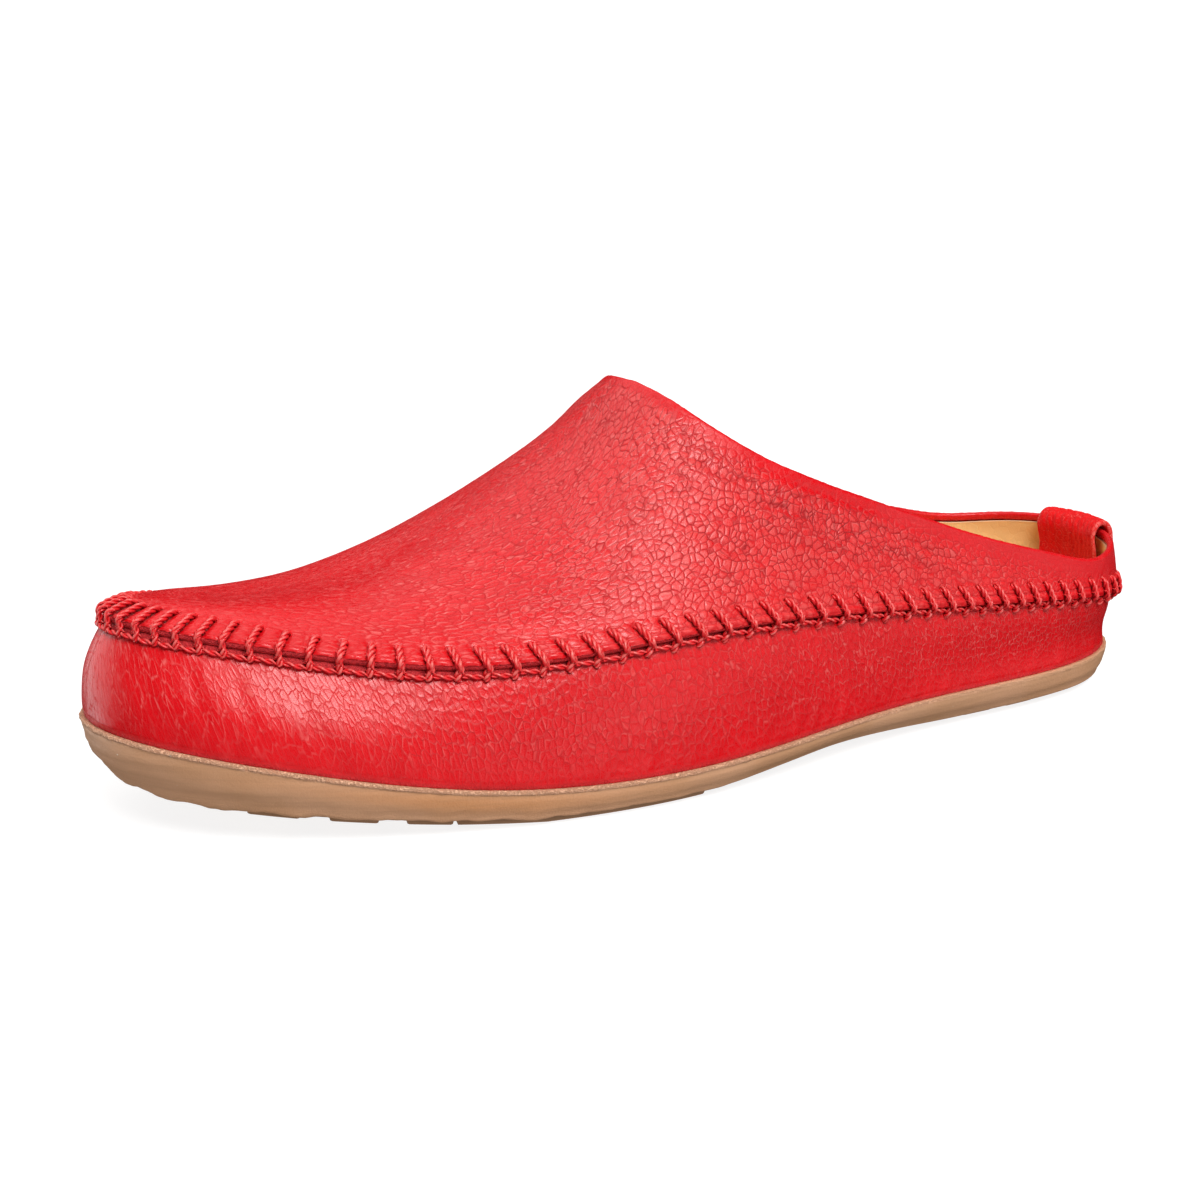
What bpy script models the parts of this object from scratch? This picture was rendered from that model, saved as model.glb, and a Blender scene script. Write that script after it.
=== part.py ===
"""A left-foot moccasin mule: moulded outsole, hollow stitched upper, footbed and heel pull loop.

The shoe is worked out in millimetres on its own last: x runs forward from the back of the
heel, y to the wearer's left (the outer side of this left shoe) and z up from the floor.
Every piece reads the same outline, so pieces that meet stay GAP apart all the way round.
The finished pieces are moved so that the origin is under the middle of the whole shoe.
"""
import math

import bmesh
import bpy
import numpy as np

MM = 0.001
GAP = 0.3                     # clearance left between pieces that touch
LENGTH = 265.0                # outsole length, heel to toe

# The outline is an ellipse-like curve: at the fraction f of the length the shoe reaches
# breadth * 2 * sqrt(f * (1 - f)) to each side of its axis.  Heights are above the floor.
# The last columns are the lean of the cut edge, how far the wall is tucked in over the sole,
# and how much lower the seam runs on the inner side.
COLUMNS = ("f", "outer_breadth", "inner_breadth", "feather", "seam", "seam_in", "tread_in", "lean", "tuck", "drop")
STATIONS = (
    (0.00, 60.5, 62.0, 9.2, 21.5, -2.6, 1.6, 88.0, 1.6, 0.0),     # back of the heel
    (0.15, 46.2, 45.3, 8.9, 27.6, -3.0, 2.4, 78.0, 1.2, 0.0),     # heel seat
    (0.35, 42.3, 38.5, 9.1, 33.0, -0.8, 4.0, 68.0, 0.5, 0.0),     # waist
    (0.55, 51.6, 41.2, 8.0, 37.1, 1.4, 2.2, 58.0, 0.0, 0.0),      # behind the ball
    (0.72, 53.8, 49.9, 9.1, 34.8, 4.1, 1.6, 42.0, 0.0, 0.0),      # ball
    (0.87, 55.0, 57.4, 15.6, 38.7, 7.4, 2.8, 34.0, 0.6, 2.4),     # toes
    (1.00, 56.1, 60.0, 22.3, 44.9, 4.5, 6.0, 22.0, -0.8, 0.0),    # toe tip
)
AXIS_HEEL_Y = -1.4            # the outline's axis leans to the inner side at the toe
AXIS_TOE_Y = -3.8

# Spine of the last, over which the instep arches: x, y, height
SPINE = (
    (26.0, -1.5, 92.0),       # imaginary, over the open heel
    (80.0, -1.5, 108.0),      # imaginary, over the ankle
    (120.0, -1.5, 99.0),      # imaginary, just behind the throat
    (140.0, -2.0, 85.0),      # throat
    (149.0, -2.5, 77.4),      # instep
    (160.0, -3.0, 69.8),
    (182.0, -5.0, 57.4),      # vamp
    (205.0, -6.5, 47.1),      # over the toe joints
    (226.0, -6.0, 44.2),      # toe pole, where the front ribs meet
)

# Top line of the collar as seen from the side: x, height on the outer and the inner side
TOP_LINE = (
    (-4.0, 36.7, 36.9),
    (8.0, 35.2, 36.3),
    (22.0, 34.8, 35.9),
    (36.0, 38.1, 38.6),
    (57.5, 44.5, 44.6),
    (90.0, 56.6, 56.8),
    (106.0, 62.9, 63.0),
    (120.0, 69.6, 69.6),
    (131.0, 76.9, 76.9),
    (140.0, 85.0, 85.0),
)
THROAT_X = 140.0

# Leather
WALL = 2.2                    # side wall and its lining
APRON = 2.5                   # apron and its lining
EDGE = 1.9                    # cut edge of the apron, standing proud of the wall
UNDERLAP = 9.0                # how far the wall's flange runs under the apron
WALL_LEAN = 0.45              # the wall's top leans in by this share of the apron's own lean
WALL_ARM = 0.42               # how far the wall runs straight at its top, as a share of its rise
WALL_FOOT_ARM = 0.45          # and at its foot
SEAM_ARM = 0.44               # how far a rib of the apron runs on straight from the seam
CROWN_ARM = 0.35              # and from the spine, as a share of its reach

# Sole
LUG = 1.6                     # height of the tread lugs
LIP = 0.8                     # how far the sole's top lip stands out from the wall
LIP_DEPTH = 1.4
ARCH = (64.0, 148.0, 1.3)     # from, to and rise of the waist above the tread plane
SPRING = (183.0, 7.5, 1.1)    # start, rise at the tip and power of the toe spring

# Tread lugs: first x, last x, how many, width, sway, waves across
TREAD_FORE = (150.0, 236.0, 7, 8.6, 2.2, 2.0)
TREAD_HEEL = (14.0, 56.0, 4, 8.4, 1.8, 1.5)
TREAD_MARGIN = ((60.0, 3.0), (146.0, 1.8), (202.0, 1.8), (238.0, 3.4))    # x, sole's lower edge to lug ends
TREAD_RIM = (146.0, 202.0, 3.0)    # first x, last x and width of the rims along the ball
LUG_ROOT = 0.8                # how far a lug's body reaches up into the sole
LUG_COLUMNS = 12
TREAD_STEPS = 240             # points of the outline that are read for the lugs' ends
RIM_COLUMNS = 9
SOLE_SHOULDER = 0.4           # the lip's top corner is rounded off by this much
SOLE_BELLY = 0.55             # share of the side's height where it bulges, above the tread
SOLE_FOOT = 0.1               # and where it turns in to the tread
SOLE_UNDERCUT = 0.2           # the tread's edge is turned down this much
SOLE_ANGLES = 37

# Footbed
FOOTBED = 4.0
FOOTBED_IN = WALL + 2 * GAP + 0.9
FOOTBED_RIM = 1.5             # depth of the dish below the rim
FOOTBED_RIM_WIDTH = 1.0
FOOTBED_DISH_IN = 5.0         # the dish starts this far in from the edge
FOOTBED_ROUND = 0.5
FOOTBED_ANGLES = 33

# Pull loop folded over the back of the collar
LOOP_Y = -1.2
LOOP_WIDTH = 20.5
LOOP_LEATHER = 1.4
LOOP_TOP = 38.9
LOOP_INNER_END = 22.0
LOOP_OUTER_END = 27.0
LOOP_TURN = 2.0               # the fold starts this far below the rim
LOOP_CLEAR = 0.55             # clearance to the collar on either side
LOOP_SLACK = 0.9              # extra stand-off of the inner leg at the rim
LOOP_COLUMNS = 8
LOOP_TURN_STEPS = 9
COLLAR_SWEEP = 1.1            # part of the outline, as an angle, searched for the collar's back
COLLAR_STEPS = 120
COLLAR_LEVELS = 24

# Ribs and levels of the upper
RIBS_BACK = 20
RIBS_FRONT = 22
BACK_CROWDING = 1.35          # above 1, the ribs behind the throat crowd towards it
WALL_LEVELS = 5
APRON_LEVELS = 10
CUT_STEPS = 201               # points along a rib that are tried for the top line

MATERIALS = {
    "apron_leather": ((0.80, 0.022, 0.035), 0.50),
    "loop_leather": ((0.62, 0.012, 0.020), 0.52),
    "gum_rubber": ((0.47, 0.27, 0.14), 0.62),
    "lining_leather": ((0.63, 0.36, 0.15), 0.65),
}


def spline(knots, values, at, level_ends=False):
    """Cubic spline through the knots, with ends that run on straight or, if asked, level."""
    knots = np.asarray(knots, float)
    values = np.asarray(values, float)
    at = np.asarray(at, float)
    count = len(knots)
    gap = np.diff(knots)
    rise = np.diff(values) / gap
    system = np.eye(count)
    right = np.zeros(count)
    for row in range(1, count - 1):
        system[row, row - 1] = gap[row - 1]
        system[row, row] = 2 * (gap[row - 1] + gap[row])
        system[row, row + 1] = gap[row]
        right[row] = 6 * (rise[row] - rise[row - 1])
    if level_ends:
        system[0, :2] = (2 * gap[0], gap[0])
        system[-1, -2:] = (gap[-1], 2 * gap[-1])
        right[0] = 6 * rise[0]
        right[-1] = -6 * rise[-1]
    bend = np.linalg.solve(system, right)
    span = np.clip(np.searchsorted(knots, at) - 1, 0, count - 2)
    width = gap[span]
    after = at - knots[span]
    before = knots[span + 1] - at
    cubic = (bend[span] * before ** 3 + bend[span + 1] * after ** 3) / (6 * width)
    start = (values[span] / width - bend[span] * width / 6) * before
    end = (values[span + 1] / width - bend[span + 1] * width / 6) * after
    return cubic + start + end


def fraction(angle):
    """Fraction of the length at an angle that runs from 0 at the heel to pi at the toe."""
    return (1 - np.cos(angle)) / 2


def angle_at(x):
    return np.arccos(1 - 2 * np.clip(np.asarray(x, float) / LENGTH, 0, 1))


def station(name, angle):
    """A column of STATIONS, read smoothly at an angle."""
    column = COLUMNS.index(name)
    knots = angle_at([row[0] * LENGTH for row in STATIONS])
    return spline(knots, [row[column] for row in STATIONS], angle, level_ends=True)


def table(rows, column, x):
    return spline([row[0] for row in rows], [row[column] for row in rows], x)


def outline(angle, side):
    """Plan of the feather line; side is +1 for the outer side and -1 for the inner side."""
    breadth = np.where(side > 0, station("outer_breadth", angle), station("inner_breadth", angle))
    axis = AXIS_HEEL_Y + (AXIS_TOE_Y - AXIS_HEEL_Y) * fraction(angle)
    return np.stack([LENGTH * fraction(angle), axis + side * breadth * np.sin(angle)], -1)


def outward(angle, side):
    """Unit normal of the outline in plan, pointing out of the shoe."""
    step = 1e-4
    low = np.clip(angle - step, 0, math.pi)
    high = np.clip(angle + step, 0, math.pi)
    along = outline(high, side) - outline(low, side)
    normal = np.stack([-along[:, 1], along[:, 0]], -1) * np.asarray(side, float)[:, None]
    at_heel = angle < step
    at_toe = angle > math.pi - step
    normal[at_heel] = (-1.0, 0.0)
    normal[at_toe] = (1.0, 0.0)
    return normal / np.linalg.norm(normal, axis=1, keepdims=True)


def round_the_shoe(angles):
    """Angles and sides once round: heel, outer side, toe, then the inner side back."""
    around = np.concatenate([angles, angles[-2:0:-1]])
    side = np.concatenate([np.ones(len(angles)), -np.ones(len(angles) - 2)])
    return around, side


def ring(around, side, inset, height):
    """Closed ring of points at an inset from the outline."""
    plan = outline(around, side) - outward(around, side) * np.broadcast_to(inset, around.shape)[:, None]
    return np.column_stack([plan, np.broadcast_to(height, around.shape)])


def smooth_step(value):
    value = np.clip(value, 0, 1)
    return value * value * (3 - 2 * value)


def bezier(start, first, second, end, t):
    """Cubic Bezier curves, one for each row, read at the columns of t."""
    t = t[..., None]
    start, first, second, end = (point[:, None, :] for point in (start, first, second, end))
    return ((1 - t) ** 3 * start + 3 * t * (1 - t) ** 2 * first
            + 3 * t * t * (1 - t) * second + t ** 3 * end)


def seam_edge(around, side):
    """Upper outer corner of the apron's cut edge."""
    height = station("seam", around) - np.where(side < 0, station("drop", around), 0.0)
    return ring(around, side, station("seam_in", around), height)


def under_edge(around, side):
    """Lower corner of the cut edge, where it lies on the side wall."""
    lean = np.radians(station("lean", around))
    out = outward(around, side)
    corner = seam_edge(around, side)
    corner[:, :2] -= out * (EDGE * np.sin(lean))[:, None]
    corner[:, 2] -= EDGE * np.cos(lean)
    return corner


def wall_ribs(around, side, levels):
    """Side wall from the feather line up to the apron's edge."""
    foot = ring(around, side, 0.0, station("feather", around) + GAP)
    top = under_edge(around, side)
    out = outward(around, side)
    lean = np.radians(90 - WALL_LEAN * (90 - station("lean", around)))
    rise = top[:, 2] - foot[:, 2]
    first = foot.copy()
    first[:, :2] -= out * station("tuck", around)[:, None]
    first[:, 2] += WALL_FOOT_ARM * rise
    second = top.copy()
    second[:, :2] += out * (WALL_ARM * rise * np.cos(lean))[:, None]
    second[:, 2] -= WALL_ARM * rise * np.sin(lean)
    t = np.broadcast_to(np.linspace(0, 1, levels), (len(around), levels))
    return bezier(foot, first, second, top, t)


def spine_point(around):
    """Where each rib of the apron meets the spine, and the spine's slope there."""
    x = SPINE[0][0] + (SPINE[-1][0] - SPINE[0][0]) * fraction(around)
    step = 0.5
    low = np.clip(x - step, SPINE[0][0], SPINE[-1][0])
    high = np.clip(x + step, SPINE[0][0], SPINE[-1][0])
    slope = (table(SPINE, 2, high) - table(SPINE, 2, low)) / (high - low)
    return np.column_stack([x, table(SPINE, 1, x), table(SPINE, 2, x)]), slope


def apron_ribs(around, side, levels):
    """Apron and collar: ribs from the seam towards the spine, cut off at the top line."""
    edge = seam_edge(around, side)
    crown, slope = spine_point(around)
    inward = crown[:, :2] - edge[:, :2]
    reach = np.linalg.norm(inward, axis=1)
    inward = inward / reach[:, None]
    lean = np.radians(station("lean", around))
    climb = crown[:, 2] - edge[:, 2]
    start_arm = SEAM_ARM * np.hypot(reach, climb)
    end_arm = CROWN_ARM * reach
    first = edge.copy()
    first[:, :2] += inward * (start_arm * np.cos(lean))[:, None]
    first[:, 2] += start_arm * np.sin(lean)
    second = crown.copy()
    second[:, :2] -= inward * end_arm[:, None]
    second[:, 2] -= end_arm * slope * inward[:, 0]
    t = top_cut(edge, first, second, crown, side)[:, None] * np.linspace(0, 1, levels)
    return bezier(edge, first, second, crown, t)


def top_cut(edge, first, second, crown, side):
    """Share of each rib that is left below the top line; 1 in front of the throat."""
    t = np.broadcast_to(np.linspace(0, 1, CUT_STEPS), (len(edge), CUT_STEPS))
    rib = bezier(edge, first, second, crown, t)
    x = np.clip(rib[:, :, 0], TOP_LINE[0][0], THROAT_X)
    above = rib[:, :, 2] - np.where(side[:, None] > 0, table(TOP_LINE, 1, x), table(TOP_LINE, 2, x))
    cut = np.ones(len(edge))
    for row in range(len(edge)):
        crossed = np.nonzero(above[row] > 0)[0]
        if crown[row, 0] < THROAT_X - 1e-6 and len(crossed):
            hit = crossed[0]
            low, high = above[row, hit - 1], above[row, hit]
            cut[row] = t[row, hit - 1] + (t[row, hit] - t[row, hit - 1]) * low / (low - high)
    return cut


def rib_angles():
    """Angles of the ribs, closer together towards the throat, the heel and the toe."""
    throat = angle_at(LENGTH * (THROAT_X - SPINE[0][0]) / (SPINE[-1][0] - SPINE[0][0]))
    back = throat * (1 - np.linspace(1, 0, RIBS_BACK + 1) ** BACK_CROWDING)
    front = throat + (math.pi - throat) * np.linspace(0, 1, RIBS_FRONT + 1)
    return np.concatenate([back, front[1:]])


def inward_normals(points, faces):
    """Vertex normals of a rib grid, each face counting by its area, pointing into the shoe."""
    normals = np.zeros_like(points)
    for face in faces:
        corners = points[list(face)]
        last = corners[3] - corners[1] if len(face) == 4 else corners[2] - corners[1]
        normals[list(face)] += np.cross(corners[2] - corners[0], last)
    length = np.linalg.norm(normals, axis=1, keepdims=True)
    return normals / np.maximum(length, 1e-12)


def grid_faces(index, closed=True):
    """Quads of a grid of vertex numbers, ribs by levels; repeated corners are dropped."""
    faces = []
    ribs, levels = index.shape
    for rib in range(ribs if closed else ribs - 1):
        after = (rib + 1) % ribs
        for level in range(levels - 1):
            corners = (index[rib, level], index[after, level], index[after, level + 1], index[rib, level + 1])
            face = tuple(dict.fromkeys(int(corner) for corner in corners))
            if len(face) > 2:
                faces.append(face)
    return faces


def make_object(name, points, faces, material, sharp_angle=35.0):
    """Closed body from points in millimetres, with its faces turned outward."""
    mesh = bpy.data.meshes.new(name)
    mesh.from_pydata([tuple(point) for point in np.asarray(points) * MM], [], faces)
    shape = bmesh.new()
    shape.from_mesh(mesh)
    bmesh.ops.remove_doubles(shape, verts=shape.verts, dist=1e-6)
    bmesh.ops.recalc_face_normals(shape, faces=shape.faces)
    shape.to_mesh(mesh)
    shape.free()
    mesh.shade_smooth()
    mesh.set_sharp_from_angle(angle=math.radians(sharp_angle))
    mesh.materials.append(material)
    piece = bpy.data.objects.new(name, mesh)
    bpy.context.scene.collection.objects.link(piece)
    return piece


def make_upper(material):
    """One hollow shell: side wall, apron with its proud cut edge, and collar."""
    angles = rib_angles()
    around, side = round_the_shoe(angles)
    ribs = len(around)
    wall = wall_ribs(around, side, WALL_LEVELS)
    apron = apron_ribs(around, side, APRON_LEVELS)

    wall_index = np.arange(ribs * WALL_LEVELS).reshape(ribs, WALL_LEVELS)
    apron_index = np.arange(ribs * APRON_LEVELS).reshape(ribs, APRON_LEVELS)
    for rib in range(RIBS_BACK, len(angles) - 1):
        apron_index[ribs - rib, -1] = apron_index[rib, -1]

    wall_points = wall.reshape(-1, 3)
    apron_points = apron.reshape(-1, 3)
    wall_normals = inward_normals(wall_points, grid_faces(wall_index))
    apron_normals = inward_normals(apron_points, grid_faces(apron_index))

    run = np.linalg.norm(np.diff(apron, axis=1), axis=2).cumsum(axis=1)
    run = np.concatenate([np.zeros((ribs, 1)), run], axis=1)
    depth = APRON + (EDGE + WALL - APRON) * (1 - smooth_step(run / UNDERLAP))
    wall_inner = wall_points + wall_normals * WALL
    apron_inner = apron_points + apron_normals * depth.reshape(-1, 1)

    offset = np.cumsum([0, len(wall_points), len(apron_points), len(wall_inner)])
    outer = np.concatenate([wall_index + offset[0], apron_index + offset[1]], axis=1)
    inner = np.concatenate([wall_index + offset[2], apron_index[:, 1:] + offset[3]], axis=1)
    faces = grid_faces(outer)
    faces += [face[::-1] for face in grid_faces(inner)]
    faces += grid_faces(np.stack([inner[:, 0], outer[:, 0]], axis=1))
    rim = [*range(ribs - RIBS_BACK, ribs), *range(RIBS_BACK + 1)]
    faces += grid_faces(np.stack([outer[rim, -1], inner[rim, -1]], axis=1), closed=False)

    points = np.concatenate([wall_points, apron_points, wall_inner, apron_inner])
    used = np.unique([corner for face in faces for corner in face])
    renumber = np.zeros(len(points), int)
    renumber[used] = np.arange(len(used))
    faces = [tuple(int(renumber[corner]) for corner in face) for face in faces]
    return make_object("upper", points[used], faces, material)


def tread_height(x):
    """Underside of the sole between its lugs: flat heel, arch, flat ball and toe spring."""
    start, end, rise = ARCH
    arch = rise * np.sin(math.pi * np.clip((x - start) / (end - start), 0, 1)) ** 2
    start, rise, power = SPRING
    spring = rise * np.clip((x - start) / (LENGTH - start), 0, 1) ** power
    return LUG + arch + spring


def ladder_faces(top, count):
    """Faces that join the two sides of one ring straight across."""
    faces = [(top[0], top[1], top[-1])]
    for rung in range(1, count - 2):
        faces.append((top[rung], top[rung + 1], top[-rung - 1], top[-rung]))
    faces.append((top[count - 2], top[count - 1], top[count]))
    return [tuple(int(corner) for corner in face) for face in faces]


def ring_solid(rings, count):
    """Closed body from rings of the same number of points, closed by ladders."""
    index = np.arange(sum(len(loop) for loop in rings)).reshape(len(rings), -1).T
    faces = grid_faces(index)
    faces += [face[::-1] for face in ladder_faces(index[:, 0], count)]
    faces += ladder_faces(index[:, -1], count)
    return np.concatenate(rings), faces


def make_outsole(material):
    """Moulded cup of gum rubber with a top lip, arch, toe spring and lugs."""
    angles = np.linspace(0, math.pi, SOLE_ANGLES)
    around, side = round_the_shoe(angles)
    feather = station("feather", around)
    tread_in = station("tread_in", around)
    tread = tread_height(LENGTH * fraction(around))
    side_height = feather - LIP_DEPTH - tread
    rows = (
        (SOLE_SHOULDER - LIP, feather),
        (-LIP, feather - SOLE_SHOULDER),
        (-LIP, feather - LIP_DEPTH),
        (tread_in / 4 - LIP / 2, tread + SOLE_BELLY * side_height),
        (tread_in * (1 - 2 * SOLE_FOOT), tread + SOLE_FOOT * side_height),
        (tread_in + 2 * SOLE_UNDERCUT, tread - SOLE_UNDERCUT),
    )
    rings = [ring(around, side, inset, height) for inset, height in rows]
    points, faces = ring_solid(rings, len(angles))
    sole = make_object("outsole", points, faces, material)
    lugs = make_lugs(material)
    join = sole.modifiers.new("lugs", "BOOLEAN")
    join.operation = "UNION"
    join.solver = "EXACT"
    join.use_self = True
    join.object = lugs
    lugs.hide_render = True
    lugs.display_type = "WIRE"
    return sole


def tread_edge(x, side, inset=0.0):
    """How far the lugs reach to one side at x, or a line at an inset from there."""
    margin = np.interp(x, *zip(*TREAD_MARGIN)) + inset
    around = np.linspace(0, math.pi, TREAD_STEPS)[1:-1]
    line = outline(around, np.full_like(around, side))
    across = outward(around, np.full_like(around, side))
    edge = line - across * station("tread_in", around)[:, None]
    reach = np.interp(x, edge[:, 0], edge[:, 1])
    slant = np.abs(np.interp(x, edge[:, 0], across[:, 1]))
    return reach - side * margin / slant


def lug_bar(rear, front):
    """Closed bar between two lines in plan, its underside LUG below the sole."""
    corners = []
    for line, lift in ((rear, 0.0), (front, 0.0), (front, 1.0), (rear, 1.0)):
        height = tread_height(line[:, 0]) - LUG + lift * (LUG + LUG_ROOT)
        corners.append(np.column_stack([line, height]))
    points = np.stack(corners, axis=1)
    index = np.arange(len(rear) * 4).reshape(-1, 4)
    faces = grid_faces(np.concatenate([index, index[:, :1]], axis=1), closed=False)
    faces += [tuple(int(corner) for corner in index[0]), tuple(int(corner) for corner in index[-1][::-1])]
    return points.reshape(-1, 3), faces


def tread_bars():
    """Wavy bars across the ball and heel, and the rims that tie the ball's bars together."""
    for first, last, count, width, sway, waves in (TREAD_FORE, TREAD_HEEL):
        for middle in np.linspace(first, last, count):
            share = np.linspace(0, 1, LUG_COLUMNS)
            low, high = (tread_edge(middle, side) for side in (-1.0, 1.0))
            y = low + (high - low) * share
            x = middle + sway * np.sin(2 * math.pi * waves * share)
            yield np.column_stack([x - width / 2, y]), np.column_stack([x + width / 2, y])
    for side in (-1.0, 1.0):
        x = np.linspace(*TREAD_RIM[:2], RIM_COLUMNS)
        edges = [np.column_stack([x, tread_edge(x, side, inset)]) for inset in (0.0, TREAD_RIM[2])]
        yield edges if side > 0 else edges[::-1]


def make_lugs(material):
    """All the lugs, as bars that reach up into the sole and are joined to it."""
    points = []
    faces = []
    for rear, front in tread_bars():
        start = sum(len(part) for part in points)
        bar, bar_faces = lug_bar(rear, front)
        points.append(bar)
        faces += [tuple(corner + start for corner in face) for face in bar_faces]
    return make_object("lug_guide", np.concatenate(points), faces, material)


def make_footbed(material):
    """Leather-covered insole on the sole, its edge turned up a little all round."""
    angles = np.linspace(0, math.pi, FOOTBED_ANGLES)
    around, side = round_the_shoe(angles)
    base = station("feather", around) + GAP
    rows = (
        (FOOTBED_IN + FOOTBED_DISH_IN, base + FOOTBED - FOOTBED_RIM),
        (FOOTBED_IN + FOOTBED_RIM_WIDTH, base + FOOTBED),
        (FOOTBED_IN, base + FOOTBED - FOOTBED_ROUND),
        (FOOTBED_IN, base),
    )
    rings = [ring(around, side, inset, height) for inset, height in rows]
    points, faces = ring_solid(rings, len(angles))
    return make_object("footbed", points, faces, material)


def collar_section(y):
    """The back of the collar at one y: x and height of its outer face, seam to top line."""
    around = np.linspace(0, COLLAR_SWEEP, COLLAR_STEPS)
    side = np.full_like(around, 1.0 if y > AXIS_HEEL_Y else -1.0)
    ribs = apron_ribs(around, side, COLLAR_LEVELS)
    nearest = np.abs(ribs[:, :, 1] - y).argmin(axis=0)
    line = ribs[nearest, np.arange(COLLAR_LEVELS)]
    return line[:, 0], line[:, 2]


def loop_path(y):
    """Middle line of the pull loop at one y: up the inside, over the rim, down the outside."""
    x_line, z_line = collar_section(y)
    rim = z_line[-1]
    turn_at = rim - LOOP_TURN
    heel_radius = station("outer_breadth", 0.0) ** 2 / (LENGTH / 2)
    slant = 1 / math.sqrt(1 - ((y - AXIS_HEEL_Y) / heel_radius) ** 2)
    stand = (LOOP_CLEAR + LOOP_LEATHER / 2) * slant

    def outer_x(z):
        return float(np.interp(z, z_line, x_line))

    def inner_x(z):
        underlap = 1 - float(smooth_step((z - z_line[0]) / UNDERLAP))
        slack = LOOP_SLACK * float(smooth_step((z - LOOP_INNER_END) / (rim - LOOP_INNER_END)))
        return outer_x(z) + (APRON + (EDGE + WALL - APRON) * underlap) * slant + stand + slack

    path = [(inner_x(z), z) for z in np.linspace(LOOP_INNER_END, turn_at, 4)]
    front, back = inner_x(turn_at), outer_x(turn_at) - stand
    rise = LOOP_TOP - LOOP_LEATHER / 2 - turn_at
    for turn in np.linspace(0, math.pi, LOOP_TURN_STEPS)[1:-1]:
        x = (front + back) / 2 + (front - back) / 2 * math.cos(turn)
        path.append((x, turn_at + rise * math.sin(turn)))
    path += [(outer_x(z) - stand, z) for z in np.linspace(turn_at, LOOP_OUTER_END, 3)]
    return np.array(path)


def make_pull_loop(material):
    """Leather band folded over the back of the collar, one leg inside and one outside."""
    columns = []
    for y in LOOP_Y + LOOP_WIDTH * np.linspace(-0.5, 0.5, LOOP_COLUMNS):
        path = loop_path(y)
        along = np.gradient(path, axis=0)
        along /= np.linalg.norm(along, axis=1, keepdims=True)
        across = np.column_stack([-along[:, 1], along[:, 0]]) * LOOP_LEATHER / 2
        section = np.concatenate([path + across, (path - across)[::-1]])
        columns.append(np.column_stack([section[:, 0], np.full(len(section), y), section[:, 1]]))
    around = len(columns[0])
    index = np.arange(LOOP_COLUMNS * around).reshape(LOOP_COLUMNS, around)
    faces = grid_faces(np.concatenate([index, index[:, :1]], axis=1), closed=False)
    for column in (index[0], index[-1][::-1]):
        for step in range(around // 2 - 1):
            face = (column[step], column[step + 1], column[around - 2 - step], column[around - 1 - step])
            faces.append(tuple(int(corner) for corner in face))
    return make_object("pull_loop", np.concatenate(columns), faces, material)


def make_material(name):
    colour, roughness = MATERIALS[name]
    material = bpy.data.materials.new(name)
    material.use_nodes = True
    shader = material.node_tree.nodes["Principled BSDF"]
    shader.inputs["Base Color"].default_value = (*colour, 1.0)
    shader.inputs["Roughness"].default_value = roughness
    shader.inputs["Metallic"].default_value = 0.0
    return material


def clear_scene():
    for item in list(bpy.data.objects):
        bpy.data.objects.remove(item, do_unlink=True)


def centre_over_origin(pieces):
    """Move the shoe so that the middle of its box, in plan, is over the origin."""
    corners = np.array([vertex.co[:] for piece in pieces for vertex in piece.data.vertices])
    middle = (corners.min(axis=0) + corners.max(axis=0)) / 2
    for piece in bpy.data.objects:
        piece.location = (-middle[0], -middle[1], 0.0)


def main():
    clear_scene()
    pieces = [
        make_outsole(make_material("gum_rubber")),
        make_footbed(make_material("lining_leather")),
        make_upper(make_material("apron_leather")),
        make_pull_loop(make_material("loop_leather")),
    ]
    centre_over_origin(pieces)


main()
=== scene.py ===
"""The looks of a left-foot moccasin mule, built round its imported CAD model.

Tables and lengths are in millimetres in the shoe's own frame: x forward from the back of the heel,
y to the wearer's left, which is the outer side of this left shoe, and z up from the floor.
to_row() takes points from there to the row's frame, in metres.
"""

import math

import bpy
import numpy as np
from mathutils import Matrix, Vector


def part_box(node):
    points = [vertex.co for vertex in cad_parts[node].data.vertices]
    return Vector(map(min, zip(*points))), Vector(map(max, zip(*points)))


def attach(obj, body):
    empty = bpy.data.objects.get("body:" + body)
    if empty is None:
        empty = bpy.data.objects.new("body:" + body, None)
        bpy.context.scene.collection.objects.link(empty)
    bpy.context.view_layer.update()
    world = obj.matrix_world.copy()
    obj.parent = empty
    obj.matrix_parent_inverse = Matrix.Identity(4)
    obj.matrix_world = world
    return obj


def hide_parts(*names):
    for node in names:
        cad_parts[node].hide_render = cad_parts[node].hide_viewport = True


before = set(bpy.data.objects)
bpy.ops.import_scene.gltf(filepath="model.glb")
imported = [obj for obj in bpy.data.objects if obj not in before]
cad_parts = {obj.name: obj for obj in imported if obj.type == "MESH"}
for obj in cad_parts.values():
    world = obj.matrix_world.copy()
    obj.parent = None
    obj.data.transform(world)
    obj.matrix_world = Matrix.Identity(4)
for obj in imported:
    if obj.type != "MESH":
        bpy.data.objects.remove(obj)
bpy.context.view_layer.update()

MM = 0.001
LENGTH = 265.0
GAP = 0.3

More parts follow.
